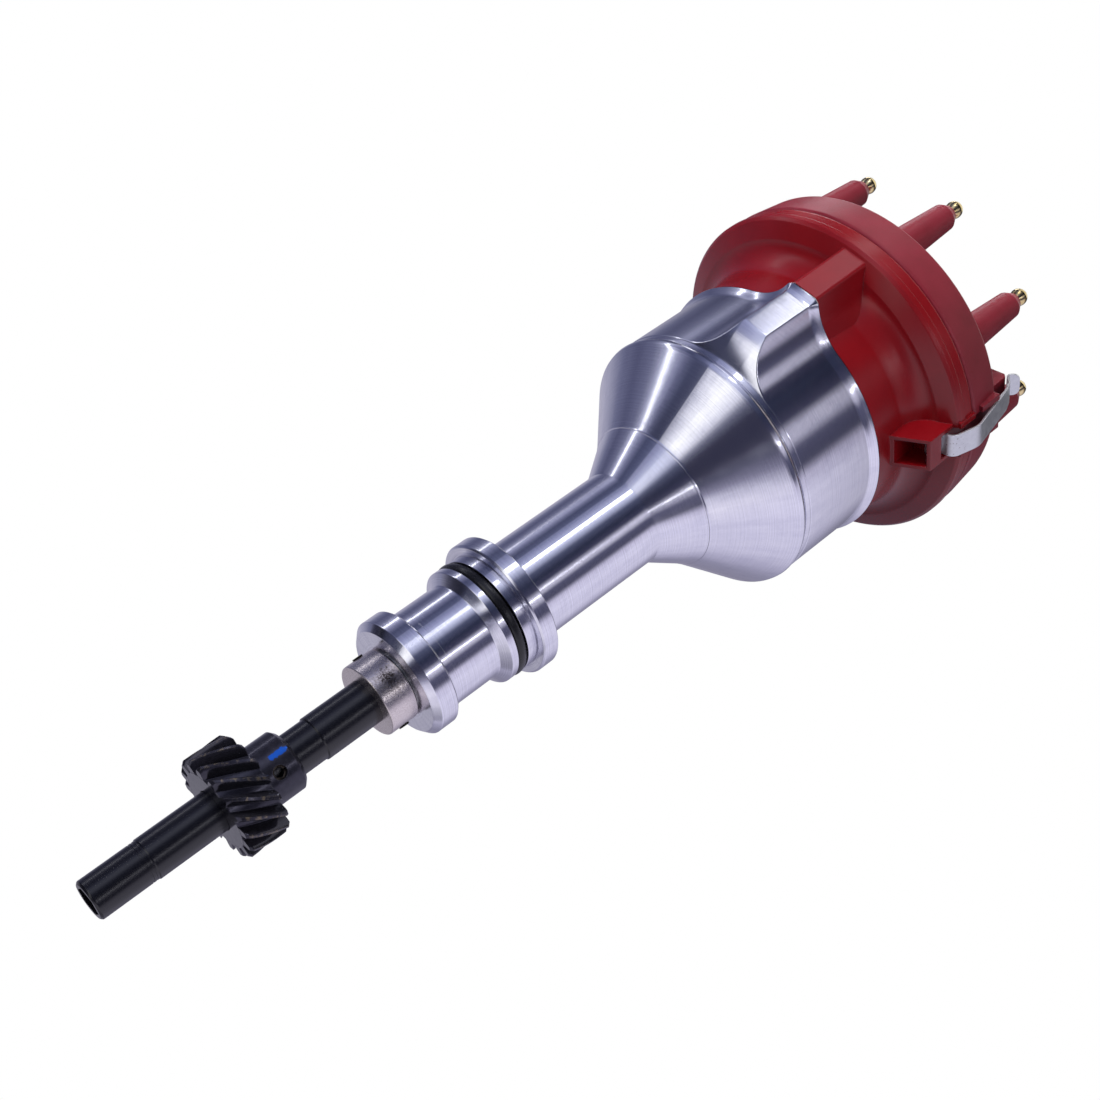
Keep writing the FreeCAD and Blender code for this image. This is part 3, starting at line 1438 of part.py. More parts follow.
def distributor_cap():
    shell = turned(
        (0, cap_ceiling_z),
        (cap_bore_radius, cap_ceiling_z),
        (cap_bore_radius, adapter_top_z - cap_spigot_depth),
        (cap_inner_spigot_radius, adapter_top_z - cap_spigot_depth),
        (cap_inner_spigot_radius, adapter_top_z),
        (cap_bottom_radius, adapter_top_z),
        (cap_top_radius, cap_top_z - cap_edge_radius),
        (cap_top_radius - cap_edge_radius, cap_top_z),
        (0, cap_top_z))
    towers = [moved_to(tower(), tower_circle_radius)]
    towers = around(towers[0], tower_count, first_tower_angle) + [tower()]
    bosses = around(moved_to(ceiling_boss(), tower_circle_radius), tower_count, first_tower_angle)
    bosses.append(ceiling_boss())
    rib = block(tower_radius - cut_margin, tower_circle_radius, cap_rib_width / 2,
                cap_top_z - cut_margin, cap_top_z + cap_rib_height)
    ribs = around(rib, tower_count, first_tower_angle)
    catches = [turned_to(cap_catch(), angle) for angle in clip_angles]
    beside_clip = clip_ribs(adapter_top_z + cap_clip_rib_rise, cap_top_z - cap_edge_radius,
                            channel_floor_radius - clip_rib_root)
    beside_clips = [turned_to(beside_clip, angle) for angle in clip_angles]
    body = joined([shell] + towers + bosses + ribs + catches + beside_clips)
    below = electrode_bottom_z - cut_margin
    shank_hole = disc(terminal_neck_radius + seat_clearance, below, tower_top_z + cut_margin)
    post_hole = disc(electrode_radius + seat_clearance, below, cap_ceiling_z)
    lead_hole = moved_to(shank_hole.fuse(post_hole), tower_circle_radius)
    button_hole = disc(button_radius + 2 * running_clearance, button_bottom_z - cut_margin,
                       coil_shank_bottom_z)
    cuts = around(lead_hole, tower_count, first_tower_angle) + [shank_hole, button_hole]
    cuts += [turned_to(clip_channel(), angle) for angle in clip_angles]
    return body.cut(Part.makeCompound(cuts))


def terminal(bottom):
    """A terminal's shank with the ball that the lead's boot snaps over."""
    ball_bottom = terminal_ball_z - sqrt(terminal_ball_radius ** 2 - terminal_neck_radius ** 2)
    return turned(
        (0, bottom),
        (terminal_neck_radius, bottom),
        (terminal_neck_radius, ball_bottom),
        ((terminal_ball_radius, terminal_ball_z), (0, terminal_ball_z + terminal_ball_radius)))


def spark_terminals():
    electrode = disc(electrode_radius, electrode_bottom_z, cap_ceiling_z)
    whole = joined([terminal(cap_ceiling_z - cut_margin), electrode])
    return around(moved_to(whole, tower_circle_radius), tower_count, first_tower_angle)


def coil_terminal():
    return terminal(coil_shank_bottom_z)


def carbon_button():
    """The sprung carbon button over the rotor's contact."""
    return turned(
        (0, button_bottom_z),
        (button_radius * button_tip_share, button_bottom_z),
        (button_radius, button_bottom_z + button_radius * (1 - button_tip_share)),
        (button_radius, button_top_z),
        (0, button_top_z))


def button_spring():
    """The compression spring above the carbon button."""
    length = coil_shank_bottom_z - button_top_z
    return coil_form(button_spring_radius - spring_wire_radius, button_top_z, length,
                     button_spring_turns)


# Cap clips

def strip_side(points, bends, offset):
    """The edges of one side of a bent strip, and the two ends of that side."""

    def run(first, second):
        length = hypot(second[0] - first[0], second[1] - first[1])
        return ((second[0] - first[0]) / length, (second[1] - first[1]) / length)

    runs = [run(points[index], points[index + 1]) for index in range(len(points) - 1)]
    first = (points[0][0] - runs[0][1] * offset, points[0][1] + runs[0][0] * offset)
    edges = []
    here = first
    for corner, before, after, bend in zip(points[1:-1], runs[:-1], runs[1:], bends):
        side = 1 if before[0] * after[1] > before[1] * after[0] else -1
        half_turn = acos(before[0] * after[0] + before[1] * after[1]) / 2
        bisector = (-side * (before[1] + after[1]) / (2 * cos(half_turn)),
                    side * (before[0] + after[0]) / (2 * cos(half_turn)))
        center = (corner[0] + bisector[0] * bend / cos(half_turn),
                  corner[1] + bisector[1] * bend / cos(half_turn))
        radius = bend - side * offset
        start = (center[0] + side * before[1] * radius, center[1] - side * before[0] * radius)
        end = (center[0] + side * after[1] * radius, center[1] - side * after[0] * radius)
        through = (center[0] - bisector[0] * radius, center[1] - bisector[1] * radius)
        edges.append(Part.makeLine(point(*here), point(*start)))
        edges.append(Part.Arc(point(*start), point(*through), point(*end)).toShape())
        here = end
    last = (points[-1][0] - runs[-1][1] * offset, points[-1][1] + runs[-1][0] * offset)
    edges.append(Part.makeLine(point(*here), point(*last)))
    return edges, first, last


def bent_strip(points, bends, thickness, width):
    """A strip of sheet metal along a line of points, with a bend radius at each inner point."""
    left, left_first, left_last = strip_side(points, bends, thickness / 2)
    right, right_first, right_last = strip_side(points, bends, -thickness / 2)
    ends = [Part.makeLine(point(*left_first), point(*right_first)),
            Part.makeLine(point(*left_last), point(*right_last))]
    face = Part.Face(Part.Wire(Part.__sortEdges__(left + right + ends)))
    face.translate(FreeCAD.Vector(0, width / 2, 0))
    return face.extrude(FreeCAD.Vector(0, -width, 0))


def clip_strap():
    """The clip's strap: out of the lug, up past the rim, over the catch, and the tail."""
    corners = [(clip_pin_circle_radius, clip_strap_z),
               (clip_knee_reach, clip_strap_z),
               (clip_bulge_reach, clip_bulge_z),
               (clip_neck_reach, clip_neck_z),
               (clip_hook_reach, clip_hook_z),
               (clip_hook_tip_reach, clip_hook_tip_z),
               (clip_tail_reach, clip_tail_z)]
    bends = [clip_knee_bend, clip_bulge_bend, clip_neck_bend, clip_hook_bend, clip_tip_bend]
    return bent_strip(corners, bends, clip_thickness, clip_width)


def cap_clip(angle):
    """A sprung clip: an eye round the pivot pin, the bulged strap, the hook and its tail."""
    eye_inner = clip_pin_radius + 2 * running_clearance
    half = clip_width / 2
    beyond = half + cut_margin
    eye = clip_pin_rod(eye_inner + clip_thickness, half, half)
    eye = eye.cut(clip_pin_rod(eye_inner, beyond, beyond))
    clip = joined([eye, clip_strap()])
    top = clip_tail_z + cut_margin
    behind = clip_hook_tip_reach - cut_margin
    corners = []
    for side in (-1, 1):
        corner = Part.makePolygon([
            FreeCAD.Vector(behind, side * beyond, top),
            FreeCAD.Vector(behind, side * (half - clip_tail_taper), top),
            FreeCAD.Vector(behind, side * beyond, top - clip_tail_taper - cut_margin),
            FreeCAD.Vector(behind, side * beyond, top)])
        corners.append(Part.Face(corner).extrude(FreeCAD.Vector(clip_bulge_reach - behind, 0, 0)))
    return turned_to(clip.cut(Part.makeCompound(corners)), angle)


def clip_pins():
    """The pivot pins, each pressed in from one side of its lug; the far hole ends blind."""
    pin = clip_pin_rod(clip_pin_radius, lug_half_width - clip_pin_blind_wall, lug_half_width)
    return [turned_to(pin, angle) for angle in clip_angles]


def main():
    os.makedirs("parts", exist_ok=True)
    save("housing", housing())
    save("housing_o_ring", housing_o_ring())
    save("lower_bushing", lower_bushing())
    save("bearing_outer_race", bearing_outer_race())
    save("bearing_inner_race", bearing_inner_race())
    save_group("bearing_balls", bearing_balls())
    save_group("bearing_shields", bearing_shields())
    save("bearing_snap_ring", bearing_snap_ring())
    save("pickup_plate", pickup_plate())
    save_group("pickup_screws", pickup_screws())
    save("pickup_pole", pickup_pole())
    save("pickup_coil", pickup_coil())
    save("harness_grommet", harness_grommet())
    save("drive_shaft", drive_shaft())
    save("drive_gear", drive_gear())
    save("gear_roll_pin", gear_roll_pin())
    save("thrust_collar", thrust_collar())
    save("collar_roll_pin", collar_roll_pin())
    save("thrust_washer", thrust_washer())
    save("advance_cam", advance_cam())
    save("cam_screw", cam_screw())
    save("advance_sleeve", advance_sleeve())
    save("weight_plate", weight_plate())
    save_group("weight_pins", weight_pins())
    save_group("weight_clips", weight_clips())
    save("reluctor_wheel", reluctor_wheel())
    save("advance_stop", advance_stop())
    save("stop_screw", stop_screw())
    save_group("advance_springs", advance_springs())
    save("advance_weight_a", advance_weight(0))
    save("advance_weight_b", advance_weight(180))
    save_group("rotor_posts", rotor_posts())
    save("rotor", rotor())
    save_group("rotor_screws", rotor_screws())
    save("rotor_blade", rotor_blade())
    save("rotor_contact_spring", rotor_contact_spring())
    save("cap_adapter", cap_adapter())
    save_group("adapter_screws", adapter_screws())
    save("distributor_cap", distributor_cap())
    save_group("spark_terminals", spark_terminals())
    save("coil_terminal", coil_terminal())
    save("carbon_button", carbon_button())
    save("button_spring", button_spring())
    save_group("clip_pins", clip_pins())
    save("cap_clip_right", cap_clip(clip_angles[0]))
    save("cap_clip_left", cap_clip(clip_angles[1]))


main()
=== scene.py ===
# %% [markdown]
# # Ignition distributor
# A distributor sits in an engine block with its gear on the camshaft. This lesson dresses the
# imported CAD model: turned and milled aluminium, moulded red plastic, oxide-black steel, brass.
# The CAD gives every size and place, and each new piece stands where its CAD node stands.

# %% Load the frame
import json
from math import acos, asin, atan2, cos, hypot, pi, radians, sin, tan

import bmesh
import bpy
from mathutils import Matrix, Vector


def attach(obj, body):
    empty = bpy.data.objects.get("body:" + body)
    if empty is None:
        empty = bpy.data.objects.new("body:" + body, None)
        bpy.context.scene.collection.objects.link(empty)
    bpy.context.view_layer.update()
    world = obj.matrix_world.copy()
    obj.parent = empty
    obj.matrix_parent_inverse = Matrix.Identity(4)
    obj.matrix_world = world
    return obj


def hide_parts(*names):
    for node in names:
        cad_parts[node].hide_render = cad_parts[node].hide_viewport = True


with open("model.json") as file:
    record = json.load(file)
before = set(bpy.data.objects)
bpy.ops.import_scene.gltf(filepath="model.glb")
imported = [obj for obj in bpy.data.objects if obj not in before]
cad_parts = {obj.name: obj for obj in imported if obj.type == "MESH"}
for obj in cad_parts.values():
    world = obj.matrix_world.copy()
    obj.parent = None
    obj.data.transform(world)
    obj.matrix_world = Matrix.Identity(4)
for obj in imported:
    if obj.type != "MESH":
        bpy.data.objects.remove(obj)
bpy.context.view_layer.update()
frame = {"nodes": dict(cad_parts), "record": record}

MM = 0.001
nodes = frame["nodes"]

# %% [markdown]
# ## Helpers for shapes
# Most of this object is turned on a lathe, so one helper turns a half section into a mesh. The
# section is a short list of corners, and each corner carries the small radius that a tool or a
# mould leaves there. Real edges are never knife sharp, and that radius is what catches the light.


# %% Half sections with broken edges
def softened(corners, steps=3):
    """The outline's points, with each (radius, height, break) corner rounded by its break."""
    points = []
    for index, corner in enumerate(corners):
        here = Vector(corner[:2])
        bend = corner[2] if len(corner) > 2 else 0
        if not bend or index in (0, len(corners) - 1):
            points.append(here)
            continue
        back = (Vector(corners[index - 1][:2]) - here).normalized()
        ahead = (Vector(corners[index + 1][:2]) - here).normalized()
        half = acos(max(-1, min(1, back.dot(ahead)))) / 2
        reach = bend / tan(half)
        center = here + (back + ahead).normalized() * bend / sin(half)
        first = here + back * reach - center
        last = here + ahead * reach - center
        swing = pi - 2 * half
        for step in range(steps + 1):
            share = step / steps
            arm = first * sin((1 - share) * swing) + last * sin(share * swing)
            points.append(center + arm / sin(swing))
    return [(point.x, point.y) for point in points]


def arc(center, radius, start, end, steps):
    """Points along an arc in the half section; angles in degrees from the radial direction."""
    turns = [radians(start + (end - start) * step / steps) for step in range(steps + 1)]
    return [(center[0] + radius * cos(turn), center[1] + radius * sin(turn)) for turn in turns]


print("points of one broken corner:", len(softened([(1, 0), (1, 1, 0.1), (0, 1)])))

# %% [markdown]
# Meshes are written in millimetres and kept in metres. Rings of points become a skin, and the
# ring that a half section's point draws round the axis makes a turned piece.


# %% Meshes from rings
def placed(name, data):
    """A new object in the scene."""
    made = bpy.data.objects.new(name, data)
    bpy.context.scene.collection.objects.link(made)
    return made


def mesh_from(name, vertices, faces):
    """A mesh object from millimetre points, with its faces pointing outwards."""
    mesh = bpy.data.meshes.new(name)
    mesh.from_pydata([Vector(vertex) * MM for vertex in vertices], [], faces)
    form = bmesh.new()
    form.from_mesh(mesh)
    bmesh.ops.remove_doubles(form, verts=form.verts, dist=0.002 * MM)
    bmesh.ops.recalc_face_normals(form, faces=form.faces)
    form.to_mesh(mesh)
    form.free()
    return placed(name, mesh)


def loft(name, rings, closed_ends=True):
    """A skin over rings of as many points each; a closed solid if its ends are capped."""
    count = len(rings[0])
    vertices = [point for ring in rings for point in ring]
    faces = []
    for level in range(len(rings) - 1):
        for index in range(count):
            after = (index + 1) % count
            low = level * count
            faces.append((low + index, low + after, low + count + after, low + count + index))
    if closed_ends:
        faces.append(tuple(range(count - 1, -1, -1)))
        last = (len(rings) - 1) * count
        faces.append(tuple(range(last, last + count)))
    return mesh_from(name, vertices, faces)


def circle(radius, height, segments):
    """Points evenly round the shaft axis."""
    turns = [2 * pi * index / segments for index in range(segments)]
    return [(radius * cos(turn), radius * sin(turn), height) for turn in turns]


def lathe(name, outline, segments=240):
    """A solid turned about the shaft axis; the outline runs from the axis back to the axis."""
    rings = [circle(radius, height, segments) for radius, height in outline]
    whole = rings[0][0][0] < 1e-6
    if whole:
        return loft(name, rings, closed_ends=False)
    return loft(name, rings + rings[:1], closed_ends=False)


print("shape helpers ready")

# %% [markdown]
# ## Helpers for cutting and joining
# Milled flats, holes and moulded pockets are cuts into a turned blank, as in the workshop. The
# exact Boolean solver does them one after another, and the cutters are thrown away afterwards.


# %% Cutting and joining
def settle(piece):
    """Makes what the piece's modifiers show its own mesh."""
    shown = piece.evaluated_get(bpy.context.evaluated_depsgraph_get())
    whole = bpy.data.meshes.new_from_object(shown)
    piece.modifiers.clear()
    piece.data = whole


def combine(piece, others, operation):
    """Joins the others to the piece, cuts them out of it, or keeps what they share."""
    for other in others:
        step = piece.modifiers.new(operation, "BOOLEAN")
        step.operation = operation
        step.solver = "EXACT"
        step.object = other
        settle(piece)
    for other in others:
        bpy.data.objects.remove(other)
    return piece


def box(name, low, high, angle=0.0):
    """A block between two corners in millimetres, turned about the shaft axis."""
    turn = Matrix.Rotation(radians(angle), 3, "Z")
    rings = []
    for height in (low[2], high[2]):
        ring = [(low[0], low[1]), (high[0], low[1]), (high[0], high[1]), (low[0], high[1])]
        rings.append([turn @ Vector((x, y, height)) for x, y in ring])
    return loft(name, rings)


def drill(name, start, direction, radius, length, segments=48):
    """A cylinder from a point along a direction."""
    turn = Vector(direction).to_track_quat("Z", "X").to_matrix()
    rings = []
    for height in (0, length):
        ring = circle(radius, height, segments)
        rings.append([Vector(start) + turn @ Vector(point) for point in ring])
    return loft(name, rings)


print("cutting helpers ready")

# %% [markdown]
# A finished piece gets one material, and smooth shading that leaves real edges sharp. Then it
# rides on the body that carries it and takes the place of its CAD node.


# %% Finishing and placing
def polar(radius, angle, height=0.0):
    """A point given by its distance from the shaft axis, its angle in degrees and its height."""
    return Vector((radius * cos(radians(angle)), radius * sin(radians(angle)), height))


def stands_for(piece, sharp_from, body, slot, node_name, finish=None):
    """Finishes a piece, and puts it on its body in the place of its CAD node."""
    piece.data.materials.clear()
    piece.data.materials.append(finish or finishes[slot])
    # Edges steeper than an angle stay sharp, and large flat faces keep their own direction.
    piece.data.shade_smooth()
    piece.data.set_sharp_from_angle(angle=radians(sharp_from))
    weighted = piece.modifiers.new("flat_faces_stay_flat", "WEIGHTED_NORMAL")
    weighted.keep_sharp = True
    weighted.weight = 80
    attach(piece, body)
    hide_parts(node_name)
    print(piece.name, "faces:", len(piece.data.polygons), "rides on", body)


finishes = {}
print("helpers for finishing and placing ready")

# %% [markdown]
# ## Helpers for materials
# One function adds a shader node with its settings and links. Colours are written as they would
# be picked on a screen, and one function turns them to the linear values that the shader wants.


# %% Material helpers
def linear(hex_colour):
    """An sRGB hex colour as linear RGBA."""
    parts = [int(hex_colour[index:index + 2], 16) / 255 for index in (1, 3, 5)]
    return tuple(part / 12.92 if part <= 0.04045 else ((part + 0.055) / 1.055) ** 2.4
        for part in parts) + (1.0,)


def add(tree, kind, inputs=None, stops=(), **settings):
    """A new node; inputs are values, sockets or nodes, settings its properties, stops a ramp."""
    made = tree.nodes.new(kind if "Node" in kind else "ShaderNode" + kind)
    for name, value in settings.items():
        setattr(made, name, value)
    for name, value in (inputs or {}).items():
        if isinstance(value, bpy.types.Node):
            value = value.outputs[0]
        if isinstance(value, bpy.types.NodeSocket):
            tree.links.new(value, made.inputs[name])
        else:
            made.inputs[name].default_value = value
    for index, (place, colour) in enumerate(stops):
        elements = made.color_ramp.elements
        element = elements[index] if index < 2 else elements.new(place)
        element.position = place
        element.color = linear(colour)
    return made


def new_material(name):
    """An empty material, with its node tree and the coordinates of the object that wears it."""
    material = bpy.data.materials.new(name)
    material.use_nodes = True
    material.node_tree.nodes.clear()
    place = add(material.node_tree, "TexCoord").outputs["Object"]
    return material, material.node_tree, place


def surfaced(material, inputs, kind="BsdfPrincipled"):
    """Gives the material its shader, whose sockets get values or links, and returns it."""
    shader = add(material.node_tree, kind, inputs)
    add(material.node_tree, "OutputMaterial", {"Surface": shader})
    print("finish:", material.name, "nodes:", len(material.node_tree.nodes))
    return material


print("material helpers ready")

# %% [markdown]
# ## Billet aluminium
# The housing is turned from one aluminium bar. A cutting tool leaves rings far finer than a
# hair, so a reflection stays crisp round the bar and smears along it. That is what the
# anisotropic setting does, and the tangent that goes with it runs across the rings: along the
# bar on a cylinder, and outwards on a flat face. Coolant and hands leave soft bluish smudges.


# %% Turned billet aluminium
def turned_billet_aluminium():
    """6061 bar, turned: bright and faintly blue, with fine rings and soft smudges."""
    material, tree, place = new_material("turned_billet_aluminium")
    parts = add(tree, "SeparateXYZ", {0: place})
    minus_y = add(tree, "Math", {0: parts.outputs["Y"], 1: -1.0}, operation="MULTIPLY")
    round_bar = add(tree, "CombineXYZ", {"X": minus_y, "Y": parts.outputs["X"]})
    surface = add(tree, "NewGeometry")
    across = add(tree, "VectorMath", {0: round_bar, 1: surface.outputs["Normal"]},
        operation="CROSS_PRODUCT")

    flat = add(tree, "CombineXYZ", {"X": parts.outputs["X"], "Y": parts.outputs["Y"]})
    radius = add(tree, "VectorMath", {0: flat}, operation="LENGTH")
    along = add(tree, "Math", {0: parts.outputs["Z"], 1: radius.outputs["Value"]}, operation="ADD")
    # The real rings are 0.1 mm apart; 0.45 mm is the finest that a picture of this size shows.
    rings = add(tree, "TexNoise", {"W": along, "Scale": 1 / (0.45 * MM), "Detail": 2.0},
        noise_dimensions="1D")
    unit = add(tree, "VectorMath", {0: flat}, operation="NORMALIZE")
    turn = add(tree, "VectorMath", {0: unit, "Scale": 9.0}, operation="SCALE")
    climb = add(tree, "Math", {0: parts.outputs["Z"], 1: 1 / (26 * MM)}, operation="MULTIPLY")
    lift = add(tree, "CombineXYZ", {"Z": climb})
    wrapped = add(tree, "VectorMath", {0: turn, 1: lift}, operation="ADD")
    streaks = add(tree, "TexNoise", {"Vector": wrapped, "Scale": 1.0, "Detail": 5.0,
        "Roughness": 0.62})
    smudges = add(tree, "TexNoise", {"Vector": place, "Scale": 1 / (5.5 * MM), "Detail": 6.0,
        "Roughness": 0.7})
    both = add(tree, "Math", {0: streaks, 1: smudges}, operation="ADD")
    worn = add(tree, "MapRange", {"Value": both, "From Min": 0.72, "From Max": 1.25})
    colour = add(tree, "ValToRGB", {"Fac": worn}, stops=[(0.0, "#dedee8"), (1.0, "#ededf3"),
        (0.45, "#e6e6ee")])
    lines = add(tree, "MapRange", {"Value": rings, "From Min": 0.25, "From Max": 0.75,
        "To Min": 0.9, "To Max": 1.03})
    shaded = add(tree, "VectorMath", {0: colour, "Scale": lines}, operation="SCALE")
    rough = add(tree, "MapRange", {"Value": worn, "To Min": 0.21, "To Max": 0.13})
    relief = add(tree, "Bump", {"Height": rings, "Strength": 0.14, "Distance": 0.02 * MM})
    return surfaced(material, {"Metallic": 1.0, "Anisotropic": 0.8, "Tangent": across,
        "Base Color": shaded, "Roughness": rough, "Normal": relief})


finishes["billet_aluminium"] = turned_billet_aluminium()

# %% [markdown]
# ## Red moulded plastic
# Cap and adapter are thermoset mouldings. Their skin is a fine grain with a soft sheen, and the
# edges of a moulding are always rounded a little. The Bevel node rounds them for the light, so
# the cut shapes need no extra faces. The adapter is smoother and deeper, the cap duller.


# %% Moulded red plastic
def moulded_red_plastic(name, shadow, body, roughness, coarseness):
    """Glass-filled thermoset: slightly cloudy, with a moulded grain; coarseness 1 is dull."""
    material, tree, place = new_material(name)
    clouds = add(tree, "TexNoise", {"Vector": place, "Scale": 1 / (14 * MM), "Detail": 3.0,
        "Roughness": 0.55})
    # The real grain is about 0.1 mm; it is drawn at 0.5 mm so that it still shows.
    grain = add(tree, "TexNoise", {"Vector": place, "Scale": 1 / (0.5 * MM), "Detail": 2.0,
        "Roughness": 0.6})
    tone = add(tree, "Math", {0: grain, 1: 0.35 * coarseness, 2: clouds}, operation="MULTIPLY_ADD")
    spread = add(tree, "MapRange", {"Value": tone, "From Min": 0.35, "From Max": 0.85})
    colour = add(tree, "Mix", {0: spread, 6: linear(shadow), 7: linear(body)}, data_type="RGBA")
    shine = add(tree, "MapRange", {"Value": grain, "From Min": 0.3, "From Max": 0.7,
        "To Min": roughness - 0.06 * coarseness, "To Max": roughness + 0.06 * coarseness})
    edges = add(tree, "Bevel", {"Radius": 0.45 * MM}, samples=4)
    relief = add(tree, "Bump", {"Height": grain, "Normal": edges, "Strength": 0.5,
        "Distance": 0.03 * coarseness * MM})
    return surfaced(material, {"IOR": 1.5, "Base Color": colour.outputs[2], "Roughness": shine,
        "Normal": relief})


adapter_red = moulded_red_plastic("moulded_red_adapter", "#840c15", "#930e18", 0.26, 0.12)
cap_red = moulded_red_plastic("moulded_red_cap", "#731622", "#8c2031", 0.42, 1.0)
finishes["red_plastic"] = cap_red

# %% [markdown]
# ## Black steel, and the gear's worn lands
# Shaft and gear are blackened. The coat is thin and slightly glossy over turned steel. On the
# tips of the teeth it has rubbed to a warm brown, and the hub carries a dab of blue paint, put
# on with a brush when the gear was checked.


# %% Black oxide steel
def black_oxide_steel():
    """Turned steel under black oxide and oil: near black, a clear cool sheen, a little dust."""
    material, tree, place = new_material("black_oxide_steel")
    parts = add(tree, "SeparateXYZ", {0: place})
    rings = add(tree, "TexNoise", {"W": parts.outputs["Z"], "Scale": 1 / (0.8 * MM), "Detail": 3.0},
        noise_dimensions="1D")
    dust = add(tree, "TexNoise", {"Vector": place, "Scale": 1 / (0.7 * MM), "Detail": 4.0,
        "Roughness": 0.75})
    specks = add(tree, "MapRange", {"Value": dust, "From Min": 0.64, "From Max": 0.85})
    colour = add(tree, "Mix", {0: specks, 6: linear("#0b0b12"), 7: linear("#26262f")},
        data_type="RGBA")
    shine = add(tree, "MapRange", {"Value": rings, "From Min": 0.3, "From Max": 0.7, "To Min": 0.22,
        "To Max": 0.27})
    relief = add(tree, "Bump", {"Height": rings, "Strength": 0.05, "Distance": 0.02 * MM})
    return surfaced(material, {"IOR": 1.55, "Base Color": colour.outputs[2], "Roughness": shine,
        "Normal": relief})


finishes["oxide_steel"] = black_oxide_steel()

# %% [markdown]
# The gear is iron under the same kind of coat. Its paint dab is a stretched ball of colour at
# its real place on the hub, and a noise makes its edge ragged.


# %% Gear iron
def blackened_gear_iron():
    """Gear iron with a black phosphate coat, brown and brighter where the tooth tips rub."""
    material, tree, place = new_material("blackened_gear_iron")
    parts = add(tree, "SeparateXYZ", {0: place})
    flat = add(tree, "CombineXYZ", {"X": parts.outputs["X"], "Y": parts.outputs["Y"]})
    radius = add(tree, "VectorMath", {0: flat}, operation="LENGTH")
    patches = add(tree, "TexNoise", {"Vector": place, "Scale": 1 / (1.6 * MM), "Detail": 4.0,
        "Roughness": 0.65})
    tip = add(tree, "MapRange", {"Value": radius.outputs["Value"], "From Min": 15.3 * MM,
        "From Max": 15.6 * MM})
    rubbed = add(tree, "MapRange", {"Value": patches, "From Min": 0.5, "From Max": 0.68})
    wear = add(tree, "Math", {0: tip, 1: rubbed}, operation="MULTIPLY")
    coat = add(tree, "Mix", {0: patches, 6: linear("#26252e"), 7: linear("#4b4a56")},
        data_type="RGBA")
    worn = add(tree, "Mix", {0: wear, 6: coat.outputs[2], 7: linear("#857862")}, data_type="RGBA")
    # The dab lies along the hub at -82 degrees, 6 mm long and 2 mm wide, with a brushed edge.
    dab = polar(9.2 * MM, -82.0, -78.5 * MM)
    wobble = add(tree, "TexNoise", {"Vector": place, "Scale": 1 / (1.1 * MM)})
    shift = add(tree, "VectorMath", {0: wobble.outputs["Color"], "Scale": 1.6 * MM},
        operation="SCALE")
    moved = add(tree, "VectorMath", {0: place, 1: shift}, operation="ADD")
    from_dab = add(tree, "Mapping", {"Vector": moved, "Rotation": (0, 0, radians(-82)),
        "Location": dab + Vector((1, 1, 1)) * 0.8 * MM,
        "Scale": (1.6 * MM, 0.95 * MM, 3.0 * MM)}, vector_type="TEXTURE")
    away = add(tree, "VectorMath", {0: from_dab}, operation="LENGTH")
    paint = add(tree, "MapRange", {"Value": away.outputs["Value"], "From Min": 1.08,
        "From Max": 0.92})
    colour = add(tree, "Mix", {0: paint, 6: worn.outputs[2], 7: linear("#1757b8")},
        data_type="RGBA")
    shine = add(tree, "MapRange", {"Value": patches, "From Min": 0.3, "From Max": 0.7,
        "To Min": 0.12, "To Max": 0.22})
    edges = add(tree, "Bevel", {"Radius": 0.3 * MM}, samples=4)
    relief = add(tree, "Bump", {"Height": patches, "Strength": 0.2, "Distance": 0.01 * MM,
        "Normal": edges})
    return surfaced(material, {"Metallic": 0.7, "Base Color": colour.outputs[2], "Roughness": shine,
        "Normal": relief})


finishes["gear_iron"] = blackened_gear_iron()

# %% [markdown]
# ## Nickel, spring steel and the rest
# The collar's nickel plate is mottled with dark pores. The clips are bright spring steel with a
# few rust specks where they leave their pivot. Both are bright metals that a pattern dulls.


# %% Mottled nickel plate
def mottled_nickel_plate():
    """Nickel over cast steel: warm silver with dark pores that gather in clouds."""
    material, tree, place = new_material("mottled_nickel_plate")
    clouds = add(tree, "TexNoise", {"Vector": place, "Scale": 1 / (4 * MM), "Detail": 2.0})
    pores = add(tree, "TexNoise", {"Vector": place, "Scale": 1 / (0.5 * MM), "Detail": 3.0,
        "Roughness": 0.7})
    both = add(tree, "Math", {0: clouds, 1: 0.35, 2: pores}, operation="MULTIPLY_ADD")
    # Painted shade: the plate is drawn darker on one side, round a spot at -74 degrees near the
    # side that faces the camera, and lighter away from it.
    away = add(tree, "VectorMath", {0: place, 1: polar(11.2 * MM, -74.0, -42.0 * MM)},
        operation="DISTANCE")
    painted_shade = add(tree, "MapRange", {"Value": away.outputs["Value"], "From Min": 1.0 * MM,
        "From Max": 7.0 * MM, "To Min": -0.22, "To Max": 0.22})
    left = add(tree, "Math", {0: both, 1: painted_shade}, operation="ADD")
    spread = add(tree, "MapRange", {"Value": left, "From Min": 0.4, "From Max": 0.8})
    colour = add(tree, "ValToRGB", {"Fac": spread}, stops=[(0.0, "#3d3632"), (1.0, "#dcd3cf"),
        (0.5, "#bdb3ae")])
    shine = add(tree, "MapRange", {"Value": pores, "From Min": 0.35, "From Max": 0.65,
        "To Min": 0.36, "To Max": 0.22})
    relief = add(tree, "Bump", {"Height": pores, "Strength": 0.3, "Distance": 0.03 * MM})
    return surfaced(material, {"Metallic": 1.0, "Base Color": colour, "Roughness": shine,
        "Normal": relief})


finishes["nickel"] = mottled_nickel_plate()

# %% [markdown]
# The clips' strip is bright-plated. Rust starts in specks near the rolled eye, where the
# plating was stretched, so a ramp of height lets the specks through only there.


